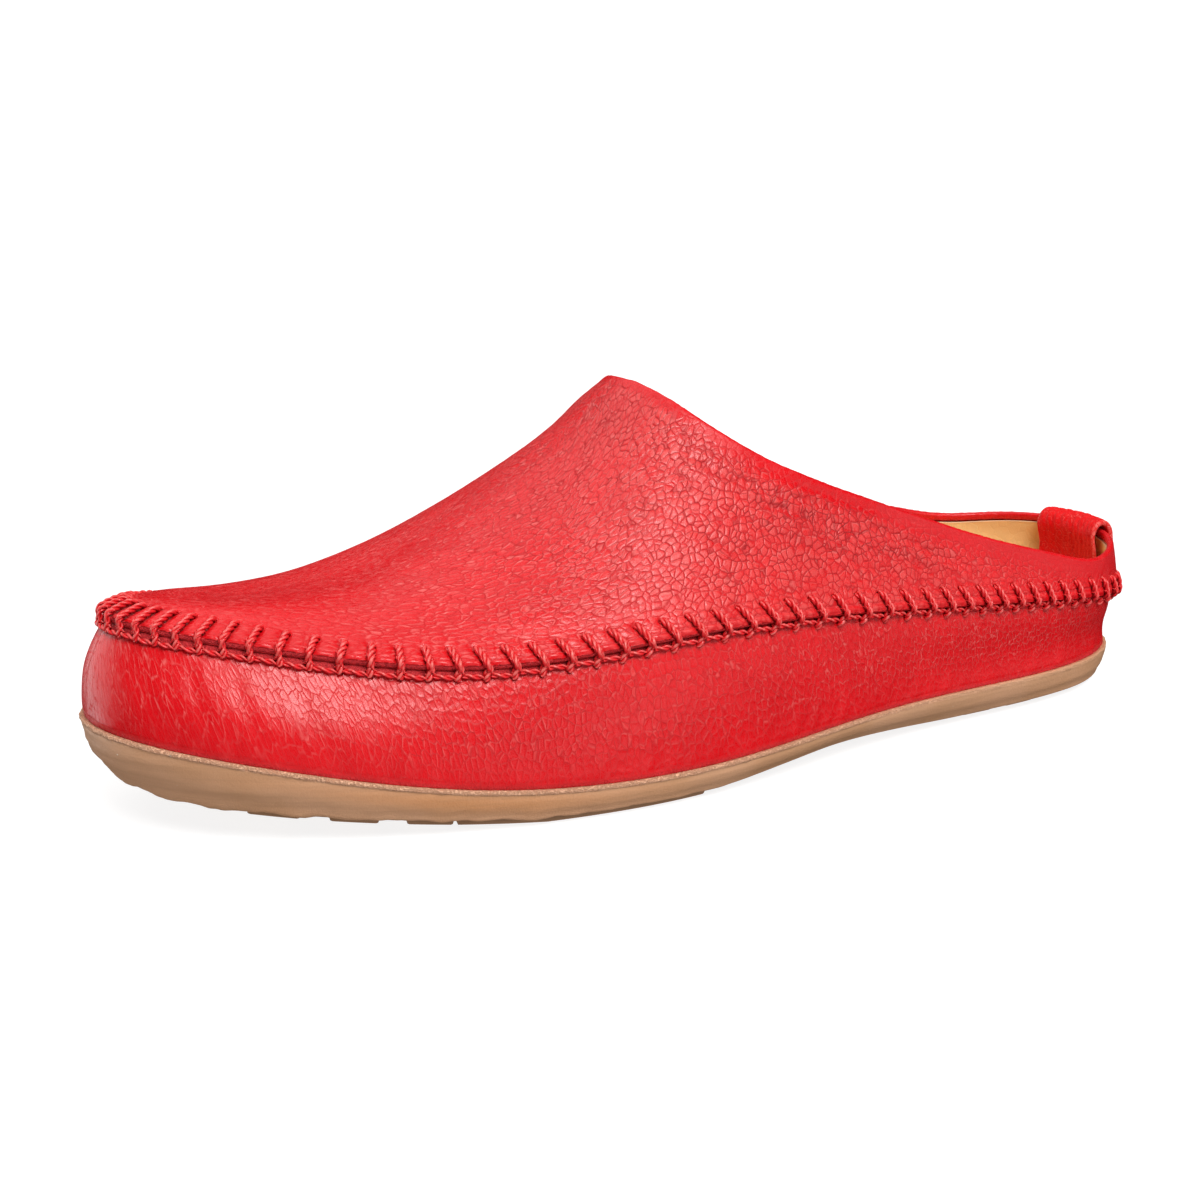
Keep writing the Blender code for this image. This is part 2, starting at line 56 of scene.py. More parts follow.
# ---------------------------------------------------------------- the shoe's own shape
COLUMNS = ("f", "outer_breadth", "inner_breadth", "feather", "seam", "seam_in", "tread_in", "lean", "tuck",
           "drop")
STATIONS = (
    (0.00, 60.5, 62.0, 9.2, 21.5, -2.6, 1.6, 88.0, 1.6, 0.0),     # back of the heel
    (0.15, 46.2, 45.3, 8.9, 27.6, -3.0, 2.4, 78.0, 1.2, 0.0),     # heel seat
    (0.35, 42.3, 38.5, 9.1, 33.0, -0.8, 4.0, 68.0, 0.5, 0.0),     # waist
    (0.55, 51.6, 41.2, 8.0, 37.1, 1.4, 2.2, 58.0, 0.0, 0.0),      # behind the ball
    (0.72, 53.8, 49.9, 9.1, 34.8, 4.1, 1.6, 42.0, 0.0, 0.0),      # ball
    (0.87, 55.0, 57.4, 15.6, 38.7, 7.4, 2.8, 34.0, 0.6, 2.4),     # toes
    (1.00, 56.1, 60.0, 22.3, 44.9, 4.5, 6.0, 22.0, -0.8, 0.0),    # toe tip
)
AXIS_HEEL_Y = -1.4
AXIS_TOE_Y = -3.8
SPINE = (    # x, y and height of the line over which the instep arches
    (26.0, -1.5, 92.0), (80.0, -1.5, 108.0), (120.0, -1.5, 99.0), (140.0, -2.0, 85.0), (149.0, -2.5, 77.4),
    (160.0, -3.0, 69.8), (182.0, -5.0, 57.4), (205.0, -6.5, 47.1), (226.0, -6.0, 44.2),
)
SPINE_START, SPINE_END = SPINE[0][0], SPINE[-1][0]
TOP_LINE = (    # x, and the collar's height on the outer and the inner side
    (-4.0, 36.7, 36.9), (8.0, 35.2, 36.3), (22.0, 34.8, 35.9), (36.0, 38.1, 38.6), (57.5, 44.5, 44.6),
    (90.0, 56.6, 56.8), (106.0, 62.9, 63.0), (120.0, 69.6, 69.6), (131.0, 76.9, 76.9), (140.0, 85.0, 85.0),
)
THROAT_X = 140.0
WALL = 2.2
APRON = 2.5
EDGE = 1.9
UNDERLAP = 9.0
WALL_LEAN = 0.45
WALL_ARM = 0.42               # arms of the Bezier ribs, as shares of their rise or reach
WALL_FOOT_ARM = 0.45
SEAM_ARM = 0.44
CROWN_ARM = 0.35

LUG = 1.6
LIP = 0.8
LIP_DEPTH = 1.4
ARCH = (64.0, 148.0, 1.3)     # first and last x of the arch, and its rise
SPRING = (183.0, 7.5, 1.1)    # first x of the toe spring, its rise, and the power that shapes it
TREAD_FORE = (150.0, 236.0, 7, 8.6, 2.2, 2.0)    # first x, last x, how many, width, sway, waves across
TREAD_HEEL = (14.0, 56.0, 4, 8.4, 1.8, 1.5)
TREAD_MARGIN = ((60.0, 3.0), (146.0, 1.8), (202.0, 1.8), (238.0, 3.4))    # x, sole's lower edge to lug ends
TREAD_RIM = (146.0, 202.0, 3.0)                  # first x, last x and width of the rims that tie the lugs
FOOTBED = 4.0
FOOTBED_IN = WALL + 2 * GAP + 0.9

LOOP_Y = -1.2
LOOP_WIDTH = 20.5
LOOP_LEATHER = 1.4
LOOP_TOP = 38.9
LOOP_INNER_END = 22.0
LOOP_OUTER_END = 27.0
LOOP_TURN = 2.0
LOOP_CLEAR = 0.55
LOOP_SLACK = 0.9

# ---------------------------------------------------------------- finer shape, for looks only
RIM_RADIUS = 0.85             # the collar's leather is rolled over this round edge
RIM_RISE = 0.7                # the roll stands this much above the line where it starts
RIM_INSIDE = 1.0              # how far the rolled leather reaches down inside
RIM_TURNS = (22, 44, 66, 84, 96, 108, 120, 136, 152, 168, 180)    # degrees round the roll
RIM_TUCKS = ((0.35, 0.0), (0.7, 0.02), (RIM_INSIDE, 0.1), (RIM_INSIDE + 0.1, 0.4), (RIM_INSIDE + 0.1, 0.95))

HALF_RIBS = 500               # ribs of the apron and the wall on each side of the shoe
LINING_RIBS = 180
# The apron's cut edge: share of the way up it, how far it swells out, and how raw it looks
BAND = ((0.0, -1.6, 1.0), (0.06, -0.15, 1.0), (0.16, 0.0, 1.0), (0.5, 0.12, 1.0), (0.82, 0.02, 0.8),
        (0.95, -0.12, 0.25))
NEAR_SEAM = (0.0, 0.25, 0.5, 0.8, 1.05, 1.25, 1.45, 1.65, 1.85, 2.05, 2.25, 2.45, 2.7, 3.0, 3.35, 3.75, 4.1,
             4.45, 4.8, 5.2, 5.65, 6.1, 6.6, 7.2, 7.9)
FAR_LEVELS = 56
WALL_LEVELS = 40

# Each row of the tables that follow is an x and the value there
STITCH_GAPS = (    # from one stitch to the next
    (0, 6.5), (10, 6.55), (25, 6.38), (40, 5.25), (60, 5.42), (75, 5.92), (90, 7.24), (110, 7.36),
    (135, 6.83), (150, 6.38), (165, 5.89), (190, 5.9), (210, 5.92), (225, 6.29), (240, 5.95), (250, 4.93),
    (265, 4.09),
)
STITCH_RUN = ((0, 4.1), (120, 4.2), (222, 4.3), (236, 5.3), (247, 6.4), (265, 6.6))    # from hole to edge
STITCH_LEAN = (    # how far the hole is towards the toe
    (0, 0.8), (30, 0.8), (60, 1.7), (105, 2.0), (130, 3.0), (165, 2.6), (197, 2.4), (213, 0.6), (225, -0.5),
    (265, 0.3),
)
STITCH_HOOK = (    # how far the lower end turns towards the toe
    (0, 0.0), (30, 0.9), (150, 1.1), (200, 0.8), (230, -0.3), (265, 0.0),
)
CORD = ((0, 0.78), (60, 0.80), (130, 0.84), (205, 0.88), (235, 0.82), (265, 0.76))      # radius of the ties
EDGE_CREASE = ((0, 2.3), (60, 2.1), (130, 1.9), (200, 1.6), (265, 1.3))    # from the edge to its groove
EDGE_CREASE_DEPTH = ((0, 0.30), (40, 0.50), (150, 0.46), (205, 0.26), (240, 0.2))
STITCH_BED = ((0, 0.16), (80, 0.22), (160, 0.46))                          # how deep the ties press in
GRAIN_ALONG = ((0, 1.3), (60, 1.6), (110, 1.9), (150, 1.9), (180, 2.3), (215, 2.9), (265, 3.0))
GRAIN_ACROSS = ((0, 1.3), (60, 1.6), (100, 1.9), (145, 1.6), (175, 1.15), (215, 1.0), (265, 1.0))
GRAIN_DEPTH = ((0, 0.04), (50, 0.055), (100, 0.075), (145, 0.06), (175, 0.04), (205, 0.03), (230, 0.025),
               (265, 0.02))
GRAIN_CREASE = ((110, 0.10), (150, 0.11), (180, 0.14), (215, 0.16))        # half-width, in cells
# APRON_PALE and APRON_DARK: painted highlight on the lit banks of the grain's creases, and painted shade in
# the creases
APRON_PALE = ((0, 0.3), (90, 0.4), (130, 0.5), (160, 0.6), (200, 0.7), (225, 0.5), (265, 0.35))
APRON_DARK = ((0, 0.5), (40, 0.65), (90, 0.95), (140, 0.95), (170, 0.72), (200, 0.36), (265, 0.16))
# APRON_SHEEN: how strong the painted highlight on the pebbles' tops is
APRON_SHEEN = ((40, 0.0), (85, 0.3), (145, 0.3), (175, 0.0))
# WALL_PALE and WALL_DARK: the same painted highlight and painted shade for the wall's grain
WALL_PALE = ((0, 0.6), (60, 0.5), (150, 0.3), (205, 0.3), (230, 0.4))
WALL_DARK = ((0, 0.5), (60, 0.45), (120, 0.45), (195, 0.6), (225, 0.4), (265, 0.2))
WALL_DEPTH = ((0, 0.05), (60, 0.055), (130, 0.05), (200, 0.04), (230, 0.018), (265, 0.01))
SOLE_STRATA = ((180, 0.03), (215, 0.05), (265, 0.12))                      # fine ledges along the sole's side
WALL_GRAIN = (    # x, width, height and slant of the wall's cells
    (-5.0, 1.1, 1.3, 0.5), (60.0, 1.2, 1.7, 0.4), (110.0, 1.4, 2.2, 0.3), (150.0, 1.6, 2.3, 0.1),
    (190.0, 1.5, 2.1, 0.0), (225.0, 1.2, 3.2, 0.35), (265.0, 1.1, 4.6, 0.45),
)
STITCH_START = 0.85           # stitches from the heel's middle to the first one on the outer side
CORD_PITCH = 4.6              # length of one full twist
BAR = 0.60                    # radius of the cord that lies along the wall

# Creases on the quarters, seen from the side: x and z of start, middle and end, depth and half-width
CREASES = (
    (139.0, 72.0, 126.0, 64.6, 96.0, 53.8, 0.42, 0.75),
    (136.6, 68.6, 124.0, 62.4, 108.0, 58.4, 0.30, 0.65),
    (132.0, 63.8, 120.0, 58.7, 93.0, 49.2, 0.38, 0.75),
    (131.5, 59.4, 118.0, 51.6, 98.5, 44.7, 0.30, 0.80),
    (96.0, 52.5, 80.0, 45.6, 61.0, 36.5, 0.36, 0.80),
    (91.7, 46.3, 80.6, 41.2, 69.0, 36.4, 0.30, 0.80),
    (118.0, 65.5, 104.0, 59.2, 88.0, 53.6, 0.28, 0.70),
    (106.0, 47.5, 95.0, 42.5, 84.0, 39.5, 0.26, 0.80),
    (150.0, 62.0, 136.0, 53.0, 122.0, 47.0, 0.20, 1.10),
)
# Soft folds on the toe's wall: distance from the toe tip and z at the top and the bottom, depth, half-width
TOE_FOLDS = (
    (12.0, 37.0, 19.0, 25.0, 0.30, 1.3),
    (22.0, 38.0, 29.0, 22.5, 0.34, 1.2),
    (31.0, 36.0, 39.0, 20.0, 0.26, 1.4),
    (43.0, 35.0, 50.0, 19.0, 0.24, 1.5),
    (58.0, 33.0, 63.0, 17.0, 0.18, 1.6),
)


def spline(knots, values, at, level_ends=False):
    """Cubic spline through the knots, with ends that run on straight or, if asked, level."""
    knots, values, at = (np.asarray(given, float) for given in (knots, values, at))
    count = len(knots)
    gap = np.diff(knots)
    rise = np.diff(values) / gap
    system = np.eye(count)
    right = np.zeros(count)
    for row in range(1, count - 1):
        system[row, row - 1:row + 2] = (gap[row - 1], 2 * (gap[row - 1] + gap[row]), gap[row])
        right[row] = 6 * (rise[row] - rise[row - 1])
    if level_ends:
        system[0, :2] = (2 * gap[0], gap[0])
        system[-1, -2:] = (gap[-1], 2 * gap[-1])
        right[0] = 6 * rise[0]
        right[-1] = -6 * rise[-1]
    bend = np.linalg.solve(system, right)
    span = np.clip(np.searchsorted(knots, at) - 1, 0, count - 2)
    width = gap[span]
    after = at - knots[span]
    before = knots[span + 1] - at
    cubic = (bend[span] * before ** 3 + bend[span + 1] * after ** 3) / (6 * width)
    start = (values[span] / width - bend[span] * width / 6) * before
    end = (values[span + 1] / width - bend[span + 1] * width / 6) * after
    return cubic + start + end


def fraction(angle):
    """Fraction of the length at an angle that runs from 0 at the heel to pi at the toe."""
    return (1 - np.cos(angle)) / 2


def angle_at(x):
    return np.arccos(1 - 2 * np.clip(np.asarray(x, float) / LENGTH, 0, 1))


def station(name, angle):
    """A column of STATIONS, read smoothly at an angle."""
    column = COLUMNS.index(name)
    knots = angle_at([row[0] * LENGTH for row in STATIONS])
    return spline(knots, [row[column] for row in STATIONS], angle, level_ends=True)


def lean_at(angle):
    """The apron's lean at its edge, from level, in radians."""
    return np.radians(station("lean", angle))


def table(rows, column, x):
    return spline([row[0] for row in rows], [row[column] for row in rows], x)


def by_x(rows, x, column=1):
    """A column of a table read along straight lines."""
    return np.interp(x, [row[0] for row in rows], [row[column] for row in rows])


def smooth_step(value):
    value = np.clip(value, 0, 1)
    return value * value * (3 - 2 * value)


def bump(distance, width):
    """A soft bell of height 1."""
    return np.exp(-(distance / width) ** 2)


def unit(vectors):
    return vectors / np.maximum(np.linalg.norm(vectors, axis=-1, keepdims=True), 1e-12)


def triples(x, y, z):
    """Vectors from three grids or numbers."""
    return np.stack(np.broadcast_arrays(x, y, z), axis=-1)


def joined(*grids):
    """One list of vectors from several grids of them."""
    return np.concatenate([grid.reshape(-1, 3) for grid in grids])


def numbered(grid, start=0):
    """Vertex numbers of a grid of points, the first of them at start."""
    return np.arange(grid.shape[0] * grid.shape[1]).reshape(grid.shape[:2]) + start


def run_along(points):
    """Distance along lines of points from their starts."""
    steps = np.linalg.norm(np.diff(points, axis=-2), axis=-1)
    return np.concatenate([np.zeros((*steps.shape[:-1], 1)), steps.cumsum(axis=-1)], axis=-1)


def step(direction, along, up=0.0):
    """Steps along directions in plan, and upwards."""
    return np.column_stack([direction * np.reshape(along, (-1, 1)), np.broadcast_to(up, len(direction))])


def waves(points, size, seed, count=14):
    """Smooth noise between about -1 and 1, as a sum of sines in seeded directions."""
    draw = np.random.default_rng(seed)
    total = np.zeros(points.shape[:-1])
    for _ in range(count):
        direction = draw.normal(size=3)
        direction *= (0.6 + 0.8 * draw.random()) / np.linalg.norm(direction)
        total += np.sin(points @ direction * (2 * math.pi / size) + draw.random() * 2 * math.pi)
    return total * math.sqrt(2 / count) / 1.6


def bezier(controls, t):
    """Cubic Bezier curves, one for each row, read at the columns of t."""
    t = t[..., None]
    start, first, second, end = (point[:, None, :] for point in controls)
    return ((1 - t) ** 3 * start + 3 * t * (1 - t) ** 2 * first
            + 3 * t * t * (1 - t) * second + t ** 3 * end)


def through(knots, steps):
    """Smooth lines through rows of knots."""
    last = knots.shape[1] - 1
    wanted = np.linspace(0, last, steps)
    base = np.clip(wanted.astype(int), 0, last - 1)
    part = (wanted - base)[None, :, None]
    before, start, end, after = (knots[:, np.clip(base + ahead, 0, last)] for ahead in (-1, 0, 1, 2))
    return 0.5 * (2 * start + (end - before) * part + (2 * before - 5 * start + 4 * end - after) * part ** 2
                  + (3 * start - before - 3 * end + after) * part ** 3)


def outline(angle, side):
    """Plan of the feather line; side is +1 for the outer side and -1 for the inner side."""
    breadth = np.where(side > 0, station("outer_breadth", angle), station("inner_breadth", angle))
    axis = AXIS_HEEL_Y + (AXIS_TOE_Y - AXIS_HEEL_Y) * fraction(angle)
    return np.stack([LENGTH * fraction(angle), axis + side * breadth * np.sin(angle)], -1)


def outward(angle, side):
    """Unit normal of the outline in plan, pointing out of the shoe."""
    nudge = 1e-4
    low, high = (np.clip(angle + move, 0, math.pi) for move in (-nudge, nudge))
    along = outline(high, side) - outline(low, side)
    normal = np.stack([-along[:, 1], along[:, 0]], -1) * np.asarray(side, float)[:, None]
    normal[angle < nudge] = (-1.0, 0.0)
    normal[angle > math.pi - nudge] = (1.0, 0.0)
    return normal / np.linalg.norm(normal, axis=1, keepdims=True)


def out_of(around, side, up=0.0):
    """Outward direction of each rib, with a share of up."""
    return step(outward(around, side), 1.0, up)


def round_the_shoe(angles):
    """Angles and sides once round: heel, outer side, toe, then the inner side back."""
    around = np.concatenate([angles, angles[-2:0:-1]])
    side = np.concatenate([np.ones(len(angles)), -np.ones(len(angles) - 2)])
    return around, side


def ring(around, side, inset, height):
    """Points at an inset from the outline."""
    plan = outline(around, side) - outward(around, side) * np.broadcast_to(inset, around.shape)[:, None]
    return np.column_stack([plan, np.broadcast_to(height, around.shape)])


def seam_edge(around, side):
    """Upper outer corner of the apron's cut edge."""
    height = station("seam", around) - np.where(side < 0, station("drop", around), 0.0)
    return ring(around, side, station("seam_in", around), height)


def under_edge(around, side):
    """Lower corner of the cut edge, where it lies on the side wall."""
    lean = lean_at(around)
    return seam_edge(around, side) - step(outward(around, side), EDGE * np.sin(lean), EDGE * np.cos(lean))


def cut_edge(around, side, share, lift):
    """Point off the apron's cut edge: share 0 is its lower corner and 1 its upper corner."""
    lower, upper = under_edge(around, side), seam_edge(around, side)
    lean = lean_at(around)
    return lower + (upper - lower) * share + step(outward(around, side), np.cos(lean), -np.sin(lean)) * lift


def wall_curve(around, side):
    """Control points of the side wall's ribs, from the feather line up to the apron's edge."""
    foot = ring(around, side, 0.0, station("feather", around) + GAP)
    top = under_edge(around, side)
    out = outward(around, side)
    lean = np.radians(90 - WALL_LEAN * (90 - station("lean", around)))
    rise = top[:, 2] - foot[:, 2]
    arm = WALL_ARM * rise
    first = foot + step(out, -station("tuck", around), WALL_FOOT_ARM * rise)
    return foot, first, top + step(out, arm * np.cos(lean), -arm * np.sin(lean)), top


def apron_curve(around, side):
    """Control points of the apron's ribs, from its edge to the spine."""
    edge = seam_edge(around, side)
    x = SPINE_START + (SPINE_END - SPINE_START) * fraction(around)
    low, high = (np.clip(x + move, SPINE_START, SPINE_END) for move in (-0.5, 0.5))
    slope = (table(SPINE, 2, high) - table(SPINE, 2, low)) / (high - low)
    crown = np.column_stack([x, table(SPINE, 1, x), table(SPINE, 2, x)])
    inward = crown[:, :2] - edge[:, :2]
    reach = np.linalg.norm(inward, axis=1)
    inward = inward / reach[:, None]
    lean = lean_at(around)
    arm = SEAM_ARM * np.hypot(reach, crown[:, 2] - edge[:, 2])
    first = edge + step(inward, arm * np.cos(lean), arm * np.sin(lean))
    arm = CROWN_ARM * reach
    return edge, first, crown - step(inward, arm, arm * slope * inward[:, 0]), crown


def top_cut(controls, side, lower=0.0):
    """Share of each rib that is left below the top line; 1 in front of the throat."""
    crown = controls[3]
    t = np.linspace(0, 1, 201)
    rib = bezier(controls, np.broadcast_to(t, (len(crown), len(t))))
    x = np.clip(rib[:, :, 0], TOP_LINE[0][0], THROAT_X)
    top = np.where(side[:, None] > 0, table(TOP_LINE, 1, x), table(TOP_LINE, 2, x))
    above = rib[:, :, 2] - top + lower
    cut = np.ones(len(crown))
    for row, heights in enumerate(above):
        crossed = np.nonzero(heights > 0)[0]
        if crown[row, 0] < THROAT_X + lower - 1e-6 and len(crossed):
            hit = crossed[0]
            below, over = heights[hit - 1], heights[hit]
            cut[row] = t[hit - 1] + (t[hit] - t[hit - 1]) * below / (below - over)
    return cut


def at_runs(controls, cut, levels_of):
    """Points on curves at lengths along them; cut is the share of t that is in use."""
    t = np.linspace(0, 1, 160)[None, :] * cut[:, None]
    length = run_along(bezier(controls, t))
    wanted = levels_of(length[:, -1])
    place = np.stack([np.interp(*rows) for rows in zip(wanted, length, t)])
    return bezier(controls, place), wanted


def evenly(shares):
    """Levels for at_runs at fixed shares of each curve's length."""
    return lambda total: total[:, None] * shares


# ---------------------------------------------------------------- places along the seam
HALF = np.linspace(0, math.pi, 3000)
OUTER_RUN, INNER_RUN = (run_along(seam_edge(HALF, np.full(len(HALF), side))) for side in (1.0, -1.0))
SEAM_LENGTH = OUTER_RUN[-1] + INNER_RUN[-1]


def stitch_counts():
    """Places round the seam, from the heel, outer side first, and the stitches counted up to there."""
    gap = by_x(STITCH_GAPS, LENGTH * fraction(HALF))
    outer, inner = (np.append(0.0, np.cumsum(np.diff(run) / gap[1:])) for run in (OUTER_RUN, INNER_RUN))
    inner *= (round(outer[-1] + inner[-1]) - outer[-1]) / inner[-1]
    places = np.concatenate([OUTER_RUN, SEAM_LENGTH - INNER_RUN[-2::-1]])
    return places, np.concatenate([outer, outer[-1] + inner[-1] - inner[-2::-1]])


STITCH_PLACES, STITCH_COUNTS = stitch_counts()
STITCHES = round(STITCH_COUNTS[-1])


def seam_place(s):
    """Angle and side at a distance round the seam from the heel, outer side first."""
    s = np.mod(s, SEAM_LENGTH)
    outer = s < OUTER_RUN[-1]
    angle = np.where(outer, np.interp(s, OUTER_RUN, HALF), np.interp(SEAM_LENGTH - s, INNER_RUN, HALF))
    return angle, np.where(outer, 1.0, -1.0)


def seam_run(around, side):
    """Distance round the seam of each rib."""
    outer, inner = (np.interp(around, HALF, run) for run in (OUTER_RUN, INNER_RUN))
    return np.where(side > 0, outer, SEAM_LENGTH - inner)


def on_curve(curve, s, run, from_end):
    """Points at a distance along the ribs, counted from their start or from their end."""
    controls = curve(*seam_place(s))
    if from_end:
        controls = controls[::-1]
    line = bezier(controls, np.broadcast_to(np.linspace(0, 0.7, 60), (len(s), 60)))
    length = run_along(line)
    before = np.clip((length <= run[:, None]).sum(axis=1) - 1, 0, 58)
    row = np.arange(len(s))
    share = (run - length[row, before]) / (length[row, before + 1] - length[row, before])
    return line[row, before] + (line[row, before + 1] - line[row, before]) * share[:, None]


def lifted(curve, s, run, lift, from_end=False):
    """Points on a curved piece, lifted off it along its outward normal."""
    s, run, lift = (value.astype(float) for value in np.broadcast_arrays(s, run, lift))
    here = on_curve(curve, s, run, from_end)
    along = on_curve(curve, s + 0.3, run, from_end) - on_curve(curve, s - 0.3, run, from_end)
    up = on_curve(curve, s, run + 0.15, from_end) - here
    normal = unit(np.cross(along, up))
    normal *= np.sign((normal * out_of(*seam_place(s), 0.4)).sum(axis=1))[:, None]
    return here + normal * lift[:, None]


def on_apron(s, run, lift):
    return lifted(apron_curve, s, run, lift)


def on_wall(s, drop, lift):
    return lifted(wall_curve, s, drop, lift, from_end=True)


def corner_at(s, share, lift):
    return cut_edge(*seam_place(s), share, lift)


# ---------------------------------------------------------------- meshes
LIP_LINE = ring(HALF, np.ones(len(HALF)), -LIP, 0.0)
CENTRE_X = LIP_LINE[:, 0].min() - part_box("outsole")[0].x / MM
CENTRE_Y = LIP_LINE[:, 1].max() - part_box("outsole")[1].y / MM


def to_row(points):
    """Points of the shoe's own frame, in millimetres, in the row's frame, in metres."""
    return (np.asarray(points, float) - (CENTRE_X, CENTRE_Y, 0.0)) * MM


def grid_quads(index, closed=True):
    """Quads of a grid of vertex numbers; rows run round the shoe."""
    after = np.roll(index, -1, axis=0)
    if not closed:
        index, after = index[:-1], after[:-1]
    return np.stack([index[:, :-1], index[:, 1:], after[:, 1:], after[:, :-1]], axis=-1).reshape(-1, 4)


def facing(points, index, level, out):
    """Vertex normals of a grid of points, turned so that those of one level face out on the whole."""
    flat, quads = points.reshape(-1, 3), grid_quads(index)
    corners = flat[quads]
    face = np.cross(corners[:, 2] - corners[:, 0], corners[:, 3] - corners[:, 1])
    normals = np.zeros_like(flat)
    for corner in range(4):
        np.add.at(normals, quads[:, corner], face)
    normals = unit(normals)
    return normals if (normals.reshape(points.shape)[:, level] * out).sum() > 0 else -normals


def make_piece(name, points, quads, material, attributes, replaced=None, flip=False):
    """Smooth mesh from points in millimetres, riding on the shoe's one body."""
    used, quads = np.unique(quads, return_inverse=True)
    faces = []
    for face in quads.reshape(-1, 4).tolist():
        corners = list(dict.fromkeys(face))
        if len(corners) > 2:
            faces.append(corners[::-1] if flip else corners)
    mesh = bpy.data.meshes.new(name)
    mesh.from_pydata(to_row(points[used]).tolist(), [], faces)
    mesh.shade_smooth()
    mesh.materials.append(material)
    for key, values in attributes.items():
        values = np.asarray(values, np.float32)[used]
        is_vector = values.ndim == 2
        layer = mesh.attributes.new(key, "FLOAT_VECTOR" if is_vector else "FLOAT", "POINT")
        layer.data.foreach_set("vector" if is_vector else "value", values.ravel())
    piece = bpy.data.objects.new(name, mesh)
    bpy.context.scene.collection.objects.link(piece)
    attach(piece, "root")
    if replaced:
        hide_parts(replaced)
    return piece


# ---------------------------------------------------------------- materials
GRAIN_BANK = (-0.05, -0.07, -0.07)      # step over the grain, in cells, away from where its banks look lit
RAW_DARK = (0.38, 0.003, 0.008)         # fibres of the leather's cut edges, also laid as painted shade in holes, grooves and under the apron's edge
RAW_PALE = (0.95, 0.06, 0.07)


def plug(tree, node, inputs):
    """Gives a node's inputs wires or plain values."""
    for key, value in inputs.items():
        if isinstance(value, Wire):
            tree.links.new(value.socket, node.inputs[key])
        else:
            node.inputs[key].default_value = value


def add(tree, kind, inputs, **settings):
    node = tree.nodes.new(kind)
    for key, value in settings.items():
        setattr(node, key, value)
    plug(tree, node, inputs)
    return node


class Wire:
    """Output of a node. Arithmetic with it, and its methods, add the nodes that work out the result."""

    def __init__(self, tree, socket):
        self.tree = tree
        self.socket = socket

    def node(self, kind, inputs, output=0, **settings):
        return Wire(self.tree, add(self.tree, kind, inputs, **settings).outputs[output])

    def math(self, operation, other=0.0, clamp=False):
        return self.node("ShaderNodeMath", {0: self, 1: other}, operation=operation, use_clamp=clamp)

    def __add__(self, other):
        return self.math("ADD", other)

    def __sub__(self, other):
        return self.math("SUBTRACT", other)

    def __rsub__(self, other):
        return self.node("ShaderNodeMath", {0: other, 1: self}, operation="SUBTRACT")

    def __mul__(self, other):
        return self.math("MULTIPLY", other)

    def vector(self, operation, other):
        return self.node("ShaderNodeVectorMath", {0: self, 1: other}, operation=operation)

    def parts(self):
        split = add(self.tree, "ShaderNodeSeparateXYZ", {0: self})
        return [Wire(self.tree, socket) for socket in split.outputs]

    def remap(self, low, high, to_low=0.0, to_high=1.0, kind="SMOOTHSTEP"):
        return self.node("ShaderNodeMapRange", {0: self, 1: low, 2: high, 3: to_low, 4: to_high},
                         interpolation_type=kind, clamp=True)

    def blend(self, first, second):
        """Mix of two colours, by this factor."""
        first, second = ((*given, 1.0) if isinstance(given, tuple) else given for given in (first, second))
        return self.node("ShaderNodeMix", {0: self, 6: first, 7: second}, 2, data_type="RGBA")

    def noise(self, scale, detail=2.0, roughness=0.5, output="Fac"):
        return self.node("ShaderNodeTexNoise", {"Vector": self, "Scale": scale, "Detail": detail,
                                                "Roughness": roughness}, output)

    def border(self, scale=1.0, randomness=0.85):
        """Distance to the nearest border of a net of cells, in cells."""
        return self.node("ShaderNodeTexVoronoi", {"Vector": self, "Scale": scale, "Randomness": randomness},
                         "Distance", feature="DISTANCE_TO_EDGE")

    def wandering(self):
        """Place in the grain, pushed about so that no crease runs straight."""
        wander = self.noise(0.9, 1.0, output="Color").vector("SUBTRACT", (0.5, 0.5, 0.5))
        return self.vector("ADD", wander.vector("MULTIPLY", (0.35, 0.35, 0.35)))


class Look:
    """A new material, which reads the mesh's attributes."""

    def __init__(self, name):
        self.material = bpy.data.materials.new(name)
        self.material.use_nodes = True
        self.tree = self.material.node_tree
        self.shader = self.tree.nodes["Principled BSDF"]

    def attribute(self, name, output="Vector"):
        return Wire(self.tree, add(self.tree, "ShaderNodeAttribute", {}, attribute_name=name).outputs[output])

    def finish_and_shading(self, colour, rough, specular, height, strength, distance):
        """Plugs in the colour, the roughness and the relief, whose distance is in millimetres."""
        relief = height.node("ShaderNodeBump",
                             {"Strength": strength, "Distance": distance * MM, "Height": height})
        plug(self.tree, self.shader, {"Base Color": colour, "Roughness": rough, "Normal": relief,
                                      "Specular IOR Level": specular})
        return self.material


